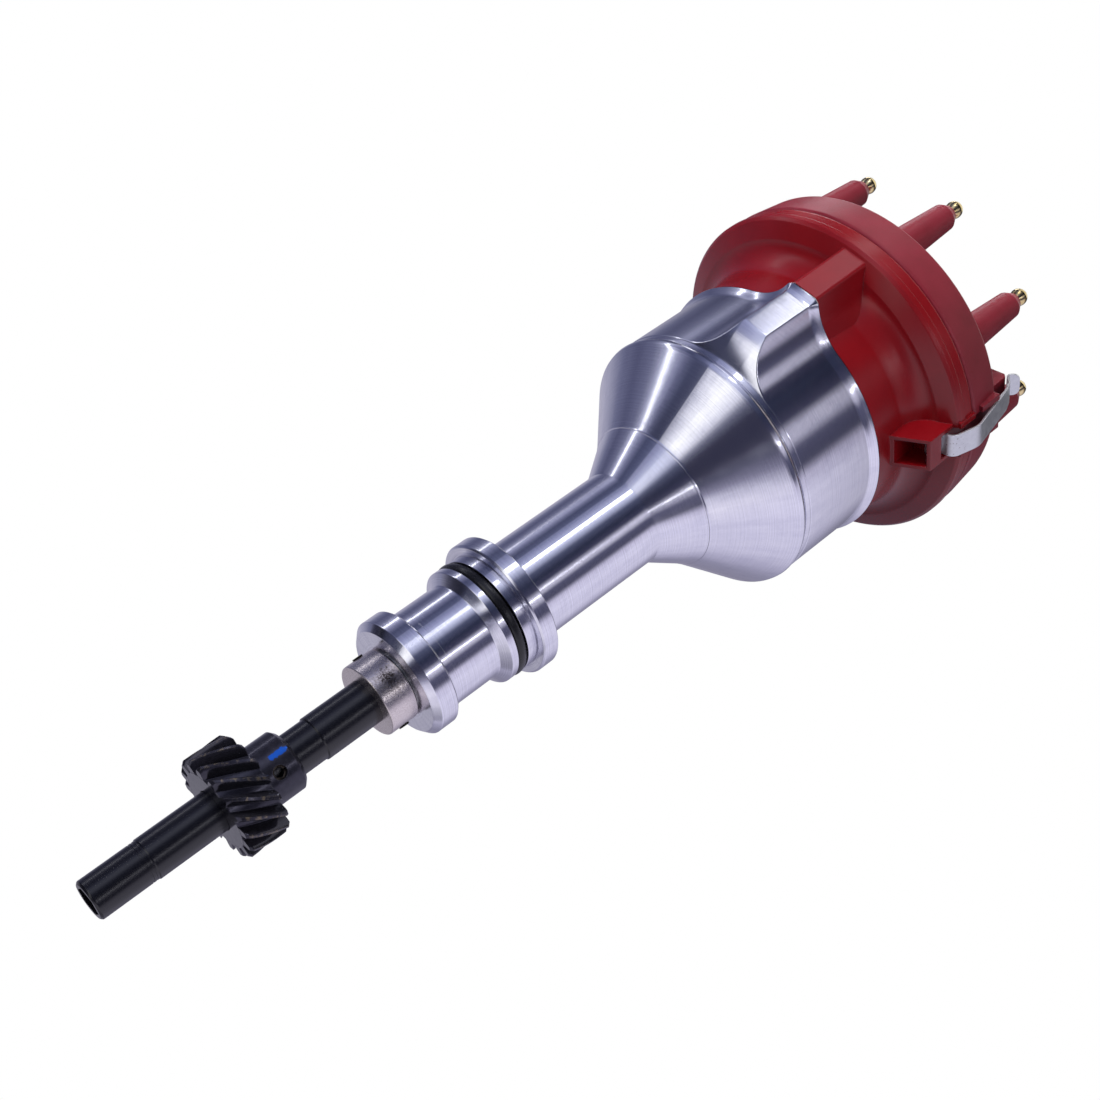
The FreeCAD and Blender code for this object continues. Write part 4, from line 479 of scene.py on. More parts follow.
# %% Specked spring steel
def tinned_spring_steel():
    """Bright-plated spring strip: pale satin silver, with rust specks below 144 mm."""
    material, tree, place = new_material("tinned_spring_steel")
    parts = add(tree, "SeparateXYZ", {0: place})
    scuffs = add(tree, "TexNoise", {"Vector": place, "Scale": 1 / (2.2 * MM), "Detail": 5.0,
        "Roughness": 0.7})
    tone = add(tree, "Mix", {0: scuffs, 6: linear("#b9bbbf"), 7: linear("#eef0f1")},
        data_type="RGBA")
    dots = add(tree, "TexNoise", {"Vector": place, "Scale": 1 / (0.8 * MM), "Detail": 2.0})
    dot = add(tree, "MapRange", {"Value": dots, "From Min": 0.66, "From Max": 0.72})
    low = add(tree, "MapRange", {"Value": parts.outputs["Z"], "From Min": 146 * MM,
        "From Max": 142 * MM})
    rust = add(tree, "Math", {0: dot, 1: low}, operation="MULTIPLY")
    colour = add(tree, "Mix", {0: rust, 6: tone.outputs[2], 7: linear("#5b3f2c")}, data_type="RGBA")
    shine = add(tree, "MapRange", {"Value": scuffs, "From Min": 0.3, "From Max": 0.7, "To Min": 0.3,
        "To Max": 0.45})
    return surfaced(material, {"Metallic": 0.85, "Base Color": colour.outputs[2],
        "Roughness": shine})


finishes["spring_steel"] = tinned_spring_steel()

# %% [markdown]
# The plain finishes share a recipe: a dark and a light tone mixed by a grain of the material's
# own size, which also varies the gloss and raises a little relief. A real finish is never one
# flat number, and the grain is what tells bronze from brass.


# %% One recipe for the plain finishes
def grained_finish(name, dark, light, grain, roughness, metallic=1.0, height=0.01):
    """Two tones of one material mixed by its own grain, which is also its roughness and relief."""
    material, tree, place = new_material(name)
    pattern = add(tree, "TexNoise", {"Vector": place, "Scale": 1 / (grain * MM), "Detail": 4.0,
        "Roughness": 0.6})
    spread = add(tree, "MapRange", {"Value": pattern, "From Min": 0.3, "From Max": 0.7})
    colour = add(tree, "Mix", {0: spread, 6: linear(dark), 7: linear(light)}, data_type="RGBA")
    shine = add(tree, "MapRange", {"Value": spread, "To Min": roughness + 0.06,
        "To Max": roughness - 0.04})
    relief = add(tree, "Bump", {"Height": pattern, "Strength": 0.4, "Distance": height * MM})
    return surfaced(material, {"Metallic": metallic, "Base Color": colour.outputs[2],
        "Roughness": shine, "Normal": relief})


finishes.update({
    # Polished brass: warm and clean, with the faint pull of a buffing wheel.
    "brass": grained_finish("polished_brass", "#cdb173", "#f0deaa", 1.5, 0.16),
    # Nitrile rubber from a polished mould: black with a soft shine.
    "seal_rubber": grained_finish("moulded_nitrile_rubber", "#08080a", "#121216", 0.8, 0.27, 0.0),
    # Sintered bronze: open grains that hold the oil.
    "bronze": grained_finish("sintered_bronze", "#6d4a25", "#b08346", 0.3, 0.5),
    # Ground bearing steel: cold and bright.
    "bearing_steel": grained_finish("ground_bearing_steel", "#b4b7bc", "#dcdee2", 0.4, 0.18),
    # Zinc-plated steel: grey with a pale spangle.
    "plated_steel": grained_finish("zinc_plated_steel", "#9b9d98", "#c9cac6", 1.2, 0.34),
    # Roll pins: dark tempered spring steel, oily.
    "pin_steel": grained_finish("tempered_pin_steel", "#26221f", "#4a443d", 0.6, 0.36),
    # Moulded nylon: black, satin.
    "black_plastic": grained_finish("moulded_black_nylon", "#0c0c0e", "#1c1c20", 0.5, 0.45, 0.0),
    # The rotor's moulded red, duller than the cap.
    "rotor_plastic": grained_finish("moulded_rotor_plastic", "#6f1620", "#8d2430", 0.5, 0.5, 0.0),
    # Sintered carbon: soot black and dry.
    "carbon": grained_finish("sintered_carbon", "#0b0b0b", "#1d1d1d", 0.3, 0.7, 0.0),
})
for part in frame["record"]["subparts"]:
    for holder in nodes[part["node"]].material_slots:
        holder.material = finishes[part["material_slot"]]
print("finishes:", len(finishes) + 1)

# %% [markdown]
# ## The housing
# One bar of aluminium, turned below and milled above. The blank has a flared shoulder, turned
# first, and a milling cutter then follows a plan: a circle with two ears, joined by hollow arcs.
# Where plan and flare meet there is one sharp curved edge, the look of this housing. A column of
# points that climbs the flare until it meets the plan, and then goes straight up, puts that edge
# exactly on the mesh, with no cutting.

# %% The milled plan of the bell
bell_radius = 42.9
ear_reach = 52.8
ear_half_width = 4.5
cove_radius = 23.3
edge_break = 0.3


def ear_plan():
    """Half an ear as (x, y, outward x, outward y): from the middle of its end to the circle."""
    away = bell_radius + cove_radius
    corner = hypot(ear_reach, ear_half_width)
    opening = acos((away ** 2 + corner ** 2 - cove_radius ** 2) / (2 * away * corner))
    meeting = atan2(ear_half_width, ear_reach) + opening
    center = Vector((away * cos(meeting), away * sin(meeting)))
    first = atan2(ear_half_width - center.y, ear_reach - center.x)
    last = meeting + pi
    if first < 0:
        first += 2 * pi
    plan = [(ear_reach, 0.0, 1.0, 0.0), (ear_reach, ear_half_width - edge_break, 1.0, 0.0)]
    start_turn = first + (edge_break / cove_radius if last > first else -edge_break / cove_radius)
    steps = 14
    for step in range(steps + 1):
        turn = start_turn + (last - start_turn) * step / steps
        spot = center + cove_radius * Vector((cos(turn), sin(turn)))
        plan.append((spot.x, spot.y, -cos(turn), -sin(turn)))
    return plan, meeting


def bell_plan():
    """The whole closed plan, with its ears on -Y and +Y."""
    half_ear, meeting = ear_plan()
    ear = [(x, -y, nx, -ny) for x, y, nx, ny in reversed(half_ear[1:])] + half_ear
    steps = 84
    side = []
    for step in range(1, steps):
        turn = meeting + (pi - 2 * meeting) * step / steps
        side.append((bell_radius * cos(turn), bell_radius * sin(turn), cos(turn), sin(turn)))
    half_plan = ear + side
    plan = half_plan + [(-x, -y, -nx, -ny) for x, y, nx, ny in half_plan]
    return [(-y, x, -ny, nx) for x, y, nx, ny in plan]


plan = bell_plan()
print("columns round the housing:", len(plan))

# %% [markdown]
# The same columns carry the turned parts, so the housing is one closed skin: up the outside
# from the pilot to the lip, over the top, and down inside through bowl, bearing seat and bore.

# %% Rings of the housing
shoulder_radius = 42.7
shoulder_top = 90.4
flare_radius = 26.0
flare_foot = radians(26.5)
flare_center = Vector((shoulder_radius - flare_radius * sin(flare_foot),
    shoulder_top + flare_radius * cos(flare_foot)))
lip_start = 117.8
bell_top = 121.3
lip_stand_out = 1.5
flare_steps = 18
lip_steps = 5


def turned_ring(radius, height):
    """A ring of the turned part, on the columns of the plan."""
    ring = []
    for x, y, _, _ in plan:
        reach = hypot(x, y)
        ring.append((x / reach * radius, y / reach * radius, height))
    return ring


def flare_ring(share):
    """The flare at a share of the way from its foot to the milled wall, column by column."""
    ring = []
    for x, y, _, _ in plan:
        reach = hypot(x, y)
        full = asin((reach - flare_center.x) / flare_radius)
        end = full - min(edge_break / flare_radius, (full - flare_foot) / 2)
        turn = flare_foot + (end - flare_foot) * share
        radius = flare_center.x + flare_radius * sin(turn)
        ring.append((x / reach * radius, y / reach * radius,
            flare_center.y - flare_radius * cos(turn)))
    return ring


def wall_foot_ring():
    """The foot of the milled wall, just above the edge that it makes with the flare."""
    ring = []
    for x, y, _, _ in plan:
        full = asin((hypot(x, y) - flare_center.x) / flare_radius)
        ring.append((x, y, flare_center.y - flare_radius * cos(full) + edge_break))
    return ring


def plan_ring(offset, height):
    """The milled plan at a height, moved outwards by an offset."""
    return [(x + nx * offset, y + ny * offset, height) for x, y, nx, ny in plan]


print("centre of the flare:", [round(value, 2) for value in flare_center])

# %% [markdown]
# The turned outline goes corner by corner from the pilot up to the bead, and the hollow inside
# from the adapter's seat down to the shaft's bore.

# %% Outline of the housing
stem = softened([
    (9.54, -37.5), (16.6, -37.5, 0.25), (18.6, -35.6, 0.4), (18.6, -30.0, 0.3),
    (18.0, -29.4, 0.25), (15.65, -29.4, 0.35), (15.65, -26.3, 0.08), (15.5, -26.3, 0.08),
    (15.5, -11.6, 0.5), (18.7, -9.4, 0.4), (18.7, -7.1, 0.2), (15.4, -7.1, 0.3),
    (15.4, -3.4, 0.3), (18.7, -3.4, 0.2), (18.7, 0.4, 0.08), (19.2, 0.4, 0.08),
    (19.2, 0.0, 0.08), (21.15, 0.0, 0.25), (21.75, 0.6, 0.25), (21.75, 5.2, 0.2),
    (21.45, 5.5, 0.15), (15.6, 5.5, 0.5), (15.6, 52.1, 0.02), (15.6, 52.7, 0.12),
    (15.93, 53.2, 0.02), (23.78, 65.4, 0.02), (24.1, 65.9, 0.03), (24.34, 65.93, 0.05),
    (24.46, 66.37, 0.03), (24.85, 66.78, 0.02), (42.2, 84.97, 0.02), (42.9, 85.7, 0.7)], steps=3)
bead = [(42.98, 86.0), (43.14, 86.5), (43.2, 86.9), (43.14, 87.4), (42.9, 87.9), (42.7, 88.0),
        (42.15, 88.05), (42.1, 88.15), (42.1, 88.5), (42.2, 88.6), (42.55, 88.6),
        (shoulder_radius, 88.75), (shoulder_radius, shoulder_top - 0.1)]
inside = softened([
    (39.5, 121.0), (39.5, 90.0, 0.3), (31.0, 90.0, 0.3), (31.0, 84.0, 0.5), (20.0, 70.5, 0.5),
    (14.02, 70.5, 0.3), (14.02, 59.0, 0.2), (11.9, 59.0, 0.2), (11.9, 57.0, 0.2),
    (8.0, 57.0, 0.2), (8.0, -8.5, 0.3), (9.54, -9.5, 0.3), (9.54, -37.2)], steps=2)
print("corners from pilot to bead:", len(stem) + len(bead), "inside:", len(inside))

# %% [markdown]
# The skin is lofted ring by ring. Its last ring is its first one again, which closes it.

# %% Loft the housing
rings = [turned_ring(radius, height) for radius, height in stem + bead]
rings += [flare_ring(step / flare_steps) for step in range(flare_steps + 1)]
rings.append(wall_foot_ring())
rings.append(plan_ring(0.0, lip_start - 0.2))
rings += [plan_ring(lip_stand_out * (step / lip_steps) ** 2, lip_start + 2.8 * step / lip_steps)
    for step in range(1, lip_steps + 1)]
rings += [plan_ring(lip_stand_out, 120.7), plan_ring(lip_stand_out, 121.05),
    plan_ring(lip_stand_out - 0.25, bell_top), turned_ring(39.7, bell_top)]
rings += [turned_ring(radius, height) for radius, height in inside]
housing = loft("housing_billet", rings + rings[:1], closed_ends=False)
stands_for(housing, 50, "housing", "billet_aluminium", "housing")

# %% [markdown]
# ## Repeating a shape round the shaft
# Gear teeth, lead towers, cap ribs and terminals all repeat at equal angles. One Geometry Nodes
# tree does that for each: it sets points on the axis, puts the shape on every point, and turns
# each copy by its share of a circle. The result is made a plain mesh again.


# %% A Geometry Nodes tree for a ring of copies
def ring_tree():
    """The tree that turns copies of a shape round the axis."""
    tree = bpy.data.node_groups.new("ring_of_copies", "GeometryNodeTree")
    face = tree.interface
    face.new_socket("Geometry", in_out="OUTPUT", socket_type="NodeSocketGeometry")
    for name, kind in (("Shape", "NodeSocketObject"), ("Count", "NodeSocketInt"),
            ("First angle", "NodeSocketFloat"), ("Finish", "NodeSocketMaterial")):
        face.new_socket(name, in_out="INPUT", socket_type=kind)
    given = add(tree, "NodeGroupInput").outputs
    shape = add(tree, "GeometryNodeObjectInfo", {"Object": given["Shape"]})
    spots = add(tree, "GeometryNodePoints", {"Count": given["Count"]})
    share = add(tree, "Math", {0: 2 * pi, 1: given["Count"]}, operation="DIVIDE")
    turn = add(tree, "Math", {0: add(tree, "GeometryNodeInputIndex"), 1: share,
        2: given["First angle"]}, operation="MULTIPLY_ADD")
    rotation = add(tree, "CombineXYZ", {"Z": turn})
    copies = add(tree, "GeometryNodeInstanceOnPoints", {"Points": spots,
        "Instance": shape.outputs["Geometry"], "Rotation": rotation})
    real = add(tree, "GeometryNodeRealizeInstances", {0: copies})
    painted = add(tree, "GeometryNodeSetMaterial", {"Geometry": real, "Material": given["Finish"]})
    add(tree, "NodeGroupOutput", {0: painted})
    return tree


copies_tree = ring_tree()
print("inputs of the tree:", [socket.name for socket in copies_tree.interface.items_tree])

# %% [markdown]
# Each input is set by its identifier before the result is read back as a plain mesh. What
# repeats is then joined with the piece that it belongs to.


# %% Copies as plain meshes
def ring_of(shape, name, count, first_angle, finish):
    """Copies of the shape at equal angles, as one plain mesh; the shape itself is thrown away."""
    piece = placed(name, bpy.data.meshes.new(name))
    step = piece.modifiers.new("copies", "NODES")
    step.node_group = copies_tree
    values = {"Shape": shape, "Count": count, "First angle": radians(first_angle), "Finish": finish}
    for socket in copies_tree.interface.items_tree:
        if socket.name in values:
            step[socket.identifier] = values[socket.name]
    settle(piece)
    bpy.data.objects.remove(shape)
    print(name, "copies:", count, "faces:", len(piece.data.polygons))
    return piece


def put_together(name, *pieces):
    """Several meshes as one object."""
    form = bmesh.new()
    for piece in pieces:
        form.from_mesh(piece.data)
    whole = bpy.data.meshes.new(name)
    form.to_mesh(whole)
    form.free()
    for piece in pieces:
        bpy.data.objects.remove(piece)
    return placed(name, whole)


print("copying helpers ready")

# %% [markdown]
# ## The helical gear
# A gear tooth keeps one outline while it turns about the axis as it climbs: that is its helix.
# One tooth is lofted from such turned outlines, thinner where the ends are chamfered, and the
# ring of copies makes sixteen. The root and the pinned hub are turned.

# %% One helical tooth, sixteen times
gear_front = -98.7
gear_back = -85.6
gear_root = 12.2
gear_outer = 15.6
gear_chamfer = 0.9
gear_teeth = 16
turn_per_mm = tan(radians(33.0)) / gear_outer


def tooth_outline(height):
    """The tooth's closed outline at a height."""
    pitch = 2 * pi / gear_teeth
    from_end = min(height - gear_front, gear_back - height)
    tip = gear_outer - max(0.0, gear_chamfer - from_end)
    half_base, half_land = pitch * 0.30, pitch * 0.11
    foot = gear_root - 0.6
    flank = []
    for step in range(9):
        share = step / 8
        radius = foot + (tip - foot) * share
        whole_share = (radius - foot) / (gear_outer - foot)
        half = half_base * 1.1 + (half_land - half_base * 1.1) * whole_share ** 1.15
        if step == 8:
            half -= 0.012
        flank.append((radius, half))
    turn = (height - gear_front) * turn_per_mm
    loop = [(radius, turn + half) for radius, half in flank]
    loop += [(radius, turn - half) for radius, half in reversed(flank)]
    return [(radius * cos(angle), radius * sin(angle), height) for radius, angle in loop]


levels = [gear_front + 0.02, gear_front + 0.45, gear_front + 0.9, gear_front + 1.05]
levels += [gear_front + 1.05 + (gear_back - gear_front - 2.1) * step / 12 for step in range(1, 13)]
levels += [gear_back - 0.9, gear_back - 0.45, gear_back - 0.02]
teeth = ring_of(loft("tooth", [tooth_outline(level) for level in levels]), "gear_teeth", gear_teeth,
    0.0, finishes["gear_iron"])
core = lathe("gear_core", softened([
    (6.34, gear_front), (gear_root - 0.2, gear_front, 0.1), (gear_root, gear_front + 0.3, 0.1),
    (gear_root, gear_back - 0.3, 0.1), (gear_root - 0.2, gear_back, 0.1), (9.2, gear_back, 0.3),
    (9.2, -75.7, 0.3), (8.0, -74.5, 0.3), (6.34, -74.5)]), 120)
core = combine(core, [drill("hole", polar(-12, -53.0, -81.05), polar(1, -53.0), 2.02, 24)],
    "DIFFERENCE")
gear = put_together("helical_gear", core, teeth)
stands_for(gear, 35, "shaft", "gear_iron", "drive_gear")

# %% [markdown]
# ## Shaft and collar
# The shaft steps up from its tip so that everything slides on from below, and two fine relief
# rings sit under the gear. Its tip is broached with a hexagon that drives the oil pump.

# %% Drive shaft and thrust collar
shaft = lathe("blackened_shaft", softened([
    (0.0, -137.7), (5.32, -137.7, 0.2), (5.92, -137.1, 0.3), (5.92, -122.2, 0.06),
    (5.8, -122.2, 0.06), (5.8, -121.8, 0.06), (5.92, -121.8, 0.06), (5.92, -121.2, 0.06),
    (5.8, -121.2, 0.06), (5.8, -120.8, 0.06), (5.92, -120.8, 0.06), (5.92, -120.2, 0.1),
    (6.15, -119.9, 0.1), (6.15, -97.2, 0.05), (6.32, -97.2, 0.05), (6.32, -65.9, 0.15),
    (6.745, -65.5, 0.15), (6.745, 57.0, 0.3), (7.5, 58.0, 0.3), (7.5, 66.02), (9.0, 66.02, 0.2),
    (9.0, 69.02, 0.2), (6.3, 69.02, 0.1), (6.3, 113.0, 0.4), (0.0, 113.0)]), 120)
hexagon = []
for height in (-138.7, -123.7):
    corner = 7.94 / 2 / cos(pi / 6)
    hexagon.append([(corner * cos(pi / 3 * index), corner * sin(pi / 3 * index), height)
        for index in range(6)])
shaft = combine(shaft, [loft("hexagon", hexagon)], "DIFFERENCE")
stands_for(shaft, 35, "shaft", "oxide_steel", "drive_shaft")

collar = lathe("nickel_collar", softened([
    (6.77, -47.3), (11.24, -47.3, 0.45), (11.24, -38.1, 0.45), (6.77, -38.1)]), 160)
collar = combine(collar, [drill("hole", polar(-14, 28.0, -42.3), polar(1, 28.0), 1.62, 28)],
    "DIFFERENCE")
stands_for(collar, 35, "shaft", "nickel", "thrust_collar")

# %% [markdown]
# ## The adapter
# The red ring carries the wide cap on the narrow housing. It is a moulding: a turned shell with
# a hollow flare, a wedge over each ear for its screw, and a pocketed lug with a channel for each
# clip. It is joined and cut here much as a mould is cut.


# %% Bosses and lugs
def slab(name, outline, half_width, angle):
    """A plate whose outline stands in the plane through the axis, turned to an angle."""
    turn = Matrix.Rotation(radians(angle), 3, "Z")
    faces = []
    for side in (half_width, -half_width):
        faces.append([turn @ Vector((radius, side, height)) for radius, height in outline])
    return loft(name, faces)


def boss(angle):
    """The wedge over an ear, from the ear's top up into the flare."""
    turn = Matrix.Rotation(radians(angle), 3, "Z")
    levels = []
    for height, inset in ((121.3, 0.0), (144.0, 0.0), (144.7, 0.2), (145.1, 0.7), (145.2, 1.2)):
        reach = 54.3 + 0.9 * (height - 121.3) / 23.9 - inset
        half = 4.55 - inset
        section = softened([(40.2, -13.2), (46.4, -8.2, 12.0), (reach, -half, 1.3),
            (reach, half, 1.3), (46.4, 8.2, 12.0), (40.2, 13.2)], 5)
        levels.append([turn @ Vector((x, y, height)) for x, y in section])
    return loft("boss", levels)


print("boss and lug helpers ready")

# %% [markdown]
# Bosses and lugs are joined to the shell first, and then the wells, pockets, windows, channels
# and pin holes are cut. A window is a hair narrower than its channel, because cutters whose
# sides lie on one another can leave the skin open.

# %% Join and cut the adapter
ear_angles = (-90.0, 90.0)
clip_angles = (-18.0, 162.0)
channel_half = 4.4
pin_reach = 50.8
pin_height = 138.6
hollow = arc((51.7, 133.5), 8.5, 180, 94, 16)
shell = lathe("adapter_ring", softened([
    (36.55, 118.3), (39.35, 118.3, 0.3), (39.35, 121.3, 0.1), (43.6, 121.3, 0.3)] + hollow + [
    (56.2, 144.3, 0.8), (57.1, 145.3, 0.5), (57.1, 147.3, 0.1), (56.7, 147.3, 0.1),
    (56.7, 151.7, 1.0), (52.6, 151.7, 0.3), (52.6, 149.1, 0.5), (39.8, 137.5, 1.0),
    (39.8, 126.3, 0.5), (36.55, 122.8)], 3))
added = [boss(angle) for angle in ear_angles]
removed = []
for angle in ear_angles:
    removed.append(drill("well", polar(47.5, angle, 127.0), (0, 0, 1), 4.6, 24.7))
    removed.append(drill("screw_hole", polar(47.5, angle, 120.3), (0, 0, 1), 2.6, 8))
for angle in clip_angles:
    added.append(slab("lug", softened([
        (41.2, 126.7), (54.8, 132.6, 0.6), (54.8, 145.2), (41.2, 145.2)], 3), 5.7, angle))
    added.append(box("rim_ribs", (53.0, -6.4, 144.4), (57.3, 6.4, 151.7), angle))
    removed.append(box("pocket", (44.3, -4.5, 121.0), (53.6, 4.5, 138.6), angle))
    removed.append(box("window", (47.95, -4.35, 137.9), (66.0, 4.35, 142.4), angle))
    removed.append(box("channel", (53.5, -channel_half, 138.0), (67.0, channel_half, 160.0), angle))
    tangent = polar(1, angle + 90)
    removed.append(drill("pin_hole", polar(pin_reach, angle, pin_height) - tangent * 5.2, tangent,
        1.27, 12, 24))
adapter = combine(combine(shell, added, "UNION"), removed, "DIFFERENCE")
stands_for(adapter, 30, "housing", "red_plastic", "cap_adapter", adapter_red)

# %% [markdown]
# ## The cap
# A shallow moulded pan with a rounded edge. A spark must not creep over it, so the terminals
# stand on tall tapered towers, and ribs on the top stiffen it. Two catches take the clips, and
# the rim is let in flat behind each clip.

# %% Cap shell with catches
pan = lathe("cap_pan", softened([
    (50.2, 149.2), (52.3, 149.2, 0.2), (52.3, 151.7, 0.1), (56.8, 151.7, 1.1),
    (55.2, 165.0, 1.1), (0.0, 165.0)], 4)[:-1] + [(0.0, 165.0), (0.0, 161.5), (50.2, 161.5)])
rim_ribs = [box("rim_ribs", (53.0, -6.4, 155.3), (57.3, 6.4, 164.0), angle)
    for angle in clip_angles]
channels = [box("channel", (53.5, -channel_half, 150.0), (67.0, channel_half, 185.0), angle)
    for angle in clip_angles]
pan = combine(combine(pan, rim_ribs, "UNION"), channels, "DIFFERENCE")
catch_outline = softened([(44.5, 164.0), (51.8, 164.0), (51.8, 174.8, 0.3), (50.6, 176.0, 0.3),
    (44.5, 176.0, 0.3), (44.5, 170.0)], 3)
catches = [slab("catch", catch_outline, 4.5, angle) for angle in clip_angles]
print("cap shell faces:", len(pan.data.polygons), "catches:", len(catches))

# %% [markdown]
# A tower is turned like the rest, with a hollow foot that runs out on the cap's top. The middle
# one takes the coil's lead, and the outer eight are a ring of copies, as are the ribs.

# %% Towers and ribs of the cap
tower_count = 8
first_tower = 1.75
tower_circle = 45.6
tower_outline = softened([(0.0, 161.5), (7.2, 161.5), (7.2, 165.0)], 1)[:-1]
tower_outline += arc((7.25, 166.4), 1.4, -90, -180, 6)
tower_outline += softened([(5.85, 166.5), (4.5, 189.8, 0.4), (2.8, 192.8, 0.35), (2.0, 192.8)], 3)
tower_outline += [(2.0, 190.0), (0.0, 190.0)]


def lathe_at(name, outline, segments, reach):
    """A small turned piece, moved out from the axis."""
    piece = lathe(name, outline, segments)
    for vertex in piece.data.vertices:
        vertex.co.x += reach * MM
    return piece


towers = ring_of(lathe_at("tower", tower_outline, 56, tower_circle), "lead_towers", tower_count,
    first_tower, cap_red)
rib_sides = []
for side in (1, -1):
    rib_sides.append([(4.9, side * 1.5, 164.0), (tower_circle, side * 1.5, 164.0),
        (tower_circle, side * 1.2, 167.5), (4.9, side * 1.2, 167.5)])
rib = loft("rib", rib_sides)
ribs = ring_of(rib, "cap_ribs", tower_count, first_tower, cap_red)
coil_tower = lathe("coil_tower", tower_outline, 56)
cap = put_together("distributor_cap_moulding", pan, *catches, towers, ribs, coil_tower)
stands_for(cap, 32, "housing", "red_plastic", "distributor_cap")

# %% [markdown]
# ## Terminals
# Each is turned from brass rod: a neck and a ball, flattened at the end, that a lead's boot
# snaps over. Below the cap's ceiling a thicker electrode faces the rotor.

# %% Ball terminals
ball = [(2.85 * sin(turn), 195.5 - 2.85 * cos(turn))
        for turn in (radians(42 + 122 * step / 14) for step in range(15))]
terminal_outline = [(0.0, 148.5), (2.7, 148.5), (3.0, 148.8), (3.0, 161.5), (1.85, 161.5),
    (1.85, 192.3), (1.72, 192.7), (1.75, 193.1)] + ball + [(0.0, 198.25)]
spark = ring_of(lathe_at("terminal", terminal_outline, 40, tower_circle), "brass_terminals",
    tower_count, first_tower, finishes["brass"])
stands_for(spark, 40, "housing", "brass", "spark_terminals")

# %% [markdown]
# ## Cap clips
# A clip is one strip of spring steel, rolled round its pin at the foot and bent to bulge past
# the rim and hook over the catch. A small rounded section is carried along a line of points, as
# a press brake would bend the strip.


# %% Sprung cap clips
def clip(name, angle):
    """The strip along its bent line, with a rolled eye and a rounded tail."""
    tail_length = 2.2
    eye = arc((pin_reach, pin_height), 1.8, 385, 90, 26)
    bends = softened([(pin_reach, 140.4), (57.2, 140.4, 3.0), (60.0, 149.8, 8.0),
        (55.6, 170.0, 12.0), (53.9, 173.8, 4.0), (51.2, 177.0, 1.0), (54.0, 179.6)], 7)
    end, before_end = Vector(bends[-1]), Vector(bends[-2])
    tail = (end - before_end).normalized() * tail_length
    rounding = [radians(15 * step) for step in range(7)]
    line = [Vector(spot) for spot in eye + bends[1:-1]]
    line += [end - tail * (1 - sin(turn)) for turn in rounding]
    turn = Matrix.Rotation(radians(angle), 3, "Z")
    section = softened([(0.0, 0.45), (1.0, 0.45, 0.2), (1.0, -0.45, 0.2), (0.0, -0.45)], 2)[1:-1]
    levels = []
    for index, spot in enumerate(line):
        before = line[max(index - 1, 0)]
        after = line[min(index + 1, len(line) - 1)]
        forward = (after - before).normalized()
        normal = Vector((-forward.y, forward.x))
        past = max(0, index - len(line) + len(rounding))
        half = 4.0 - 2.2 * (1 - cos(rounding[past]))
        right = [(half - 1.0 + across, off) for across, off in section]
        loop = right + [(-across, off) for across, off in reversed(right)]
        levels.append([turn @ Vector((spot.x + normal.x * off, across, spot.y + normal.y * off))
            for across, off in loop])
    return loft(name, levels)


for side, angle in zip(("right", "left"), clip_angles):
    stands_for(clip("sprung_clip_" + side, angle), 40, "clip_" + side, "spring_steel",
        "cap_clip_" + side)

# %% [markdown]
# ## Camera
# The camera looks up along the part from beyond the gear, rolled so that the shaft runs from
# the lower left to the upper right of the picture.

# %% Camera
camera_turn = -64.7
facing = polar(1, camera_turn)
beside = polar(1, camera_turn + 90)
up_axis = Vector((0, 0, 1))
climb_angle = radians(27.22)
roll = radians(35.7)
forward = sin(climb_angle) * up_axis - cos(climb_angle) * facing
level = cos(climb_angle) * up_axis + sin(climb_angle) * facing
right = cos(roll) * level + sin(roll) * beside
up = sin(roll) * level - cos(roll) * beside
spot = 0.4346 * facing - 0.1970 * up_axis
camera_data = bpy.data.cameras.new("camera")
camera_data.lens = 53.78
camera_data.sensor_width = 36.0
camera_data.shift_x = -0.0086
camera_data.shift_y = 0.0120
camera_data.clip_start = 0.01
camera = placed("camera", camera_data)
camera.matrix_world = Matrix((
    (right.x, up.x, -forward.x, spot.x),
    (right.y, up.y, -forward.y, spot.y),
    (right.z, up.z, -forward.z, spot.z),
    (0, 0, 0, 1)))
bpy.context.scene.camera = camera
print("camera at", [round(value, 3) for value in spot])

# %% [markdown]
# ## Studio
# A pale floor, a white surround and three soft lamps. Bright metal only shows what is round it,
# and in a plain white tent it would look like paper. So, as a product photographer does, cards
# from white to black stand round the object and lie under it. Only reflections see them: they
# cast no shadow and no tint, and the lamps light the paint without glaring in the metal.


# %% Pale floor
def pale_floor():
    """Pale paper that throws little light back up, so that the undersides keep their shade."""
    material, tree, place = new_material("pale_floor")
    paper = add(tree, "TexNoise", {"Vector": place, "Scale": 1 / (30 * MM)})
    colour = add(tree, "Mix", {0: paper, 6: linear("#f2f2f3"), 7: linear("#f7f7f7")},
        data_type="RGBA")
    ray = add(tree, "LightPath").outputs
    thrown = add(tree, "Mix", {0: ray["Is Diffuse Ray"], 6: colour.outputs[2],
        7: linear("#808084")}, data_type="RGBA")
    lit = add(tree, "BsdfPrincipled", {"Base Color": thrown.outputs[2], "Roughness": 0.8})
    # Seen directly, the paper is half its own white, so that it runs into the surround.
    own = add(tree, "Emission", {"Color": linear("#fbfbfc")})
    half = add(tree, "Math", {0: ray["Is Camera Ray"], 1: 0.55}, operation="MULTIPLY")
    return surfaced(material, {0: half, 1: lit, 2: own}, "MixShader")


floor_data = bpy.data.meshes.new("floor")
floor_data.from_pydata([(x, y, -0.215) for x, y in ((-12, -12), (12, -12), (12, 12), (-12, 12))],
    [], [(0, 1, 2, 3)])
floor_data.materials.append(pale_floor())
floor = placed("floor", floor_data)
print("floor height:", floor_data.vertices[0].co.z)

# %% [markdown]
# The surround is white to the camera and in reflections, but dimmer as a source of light, so
# that the reds come out as they are written.

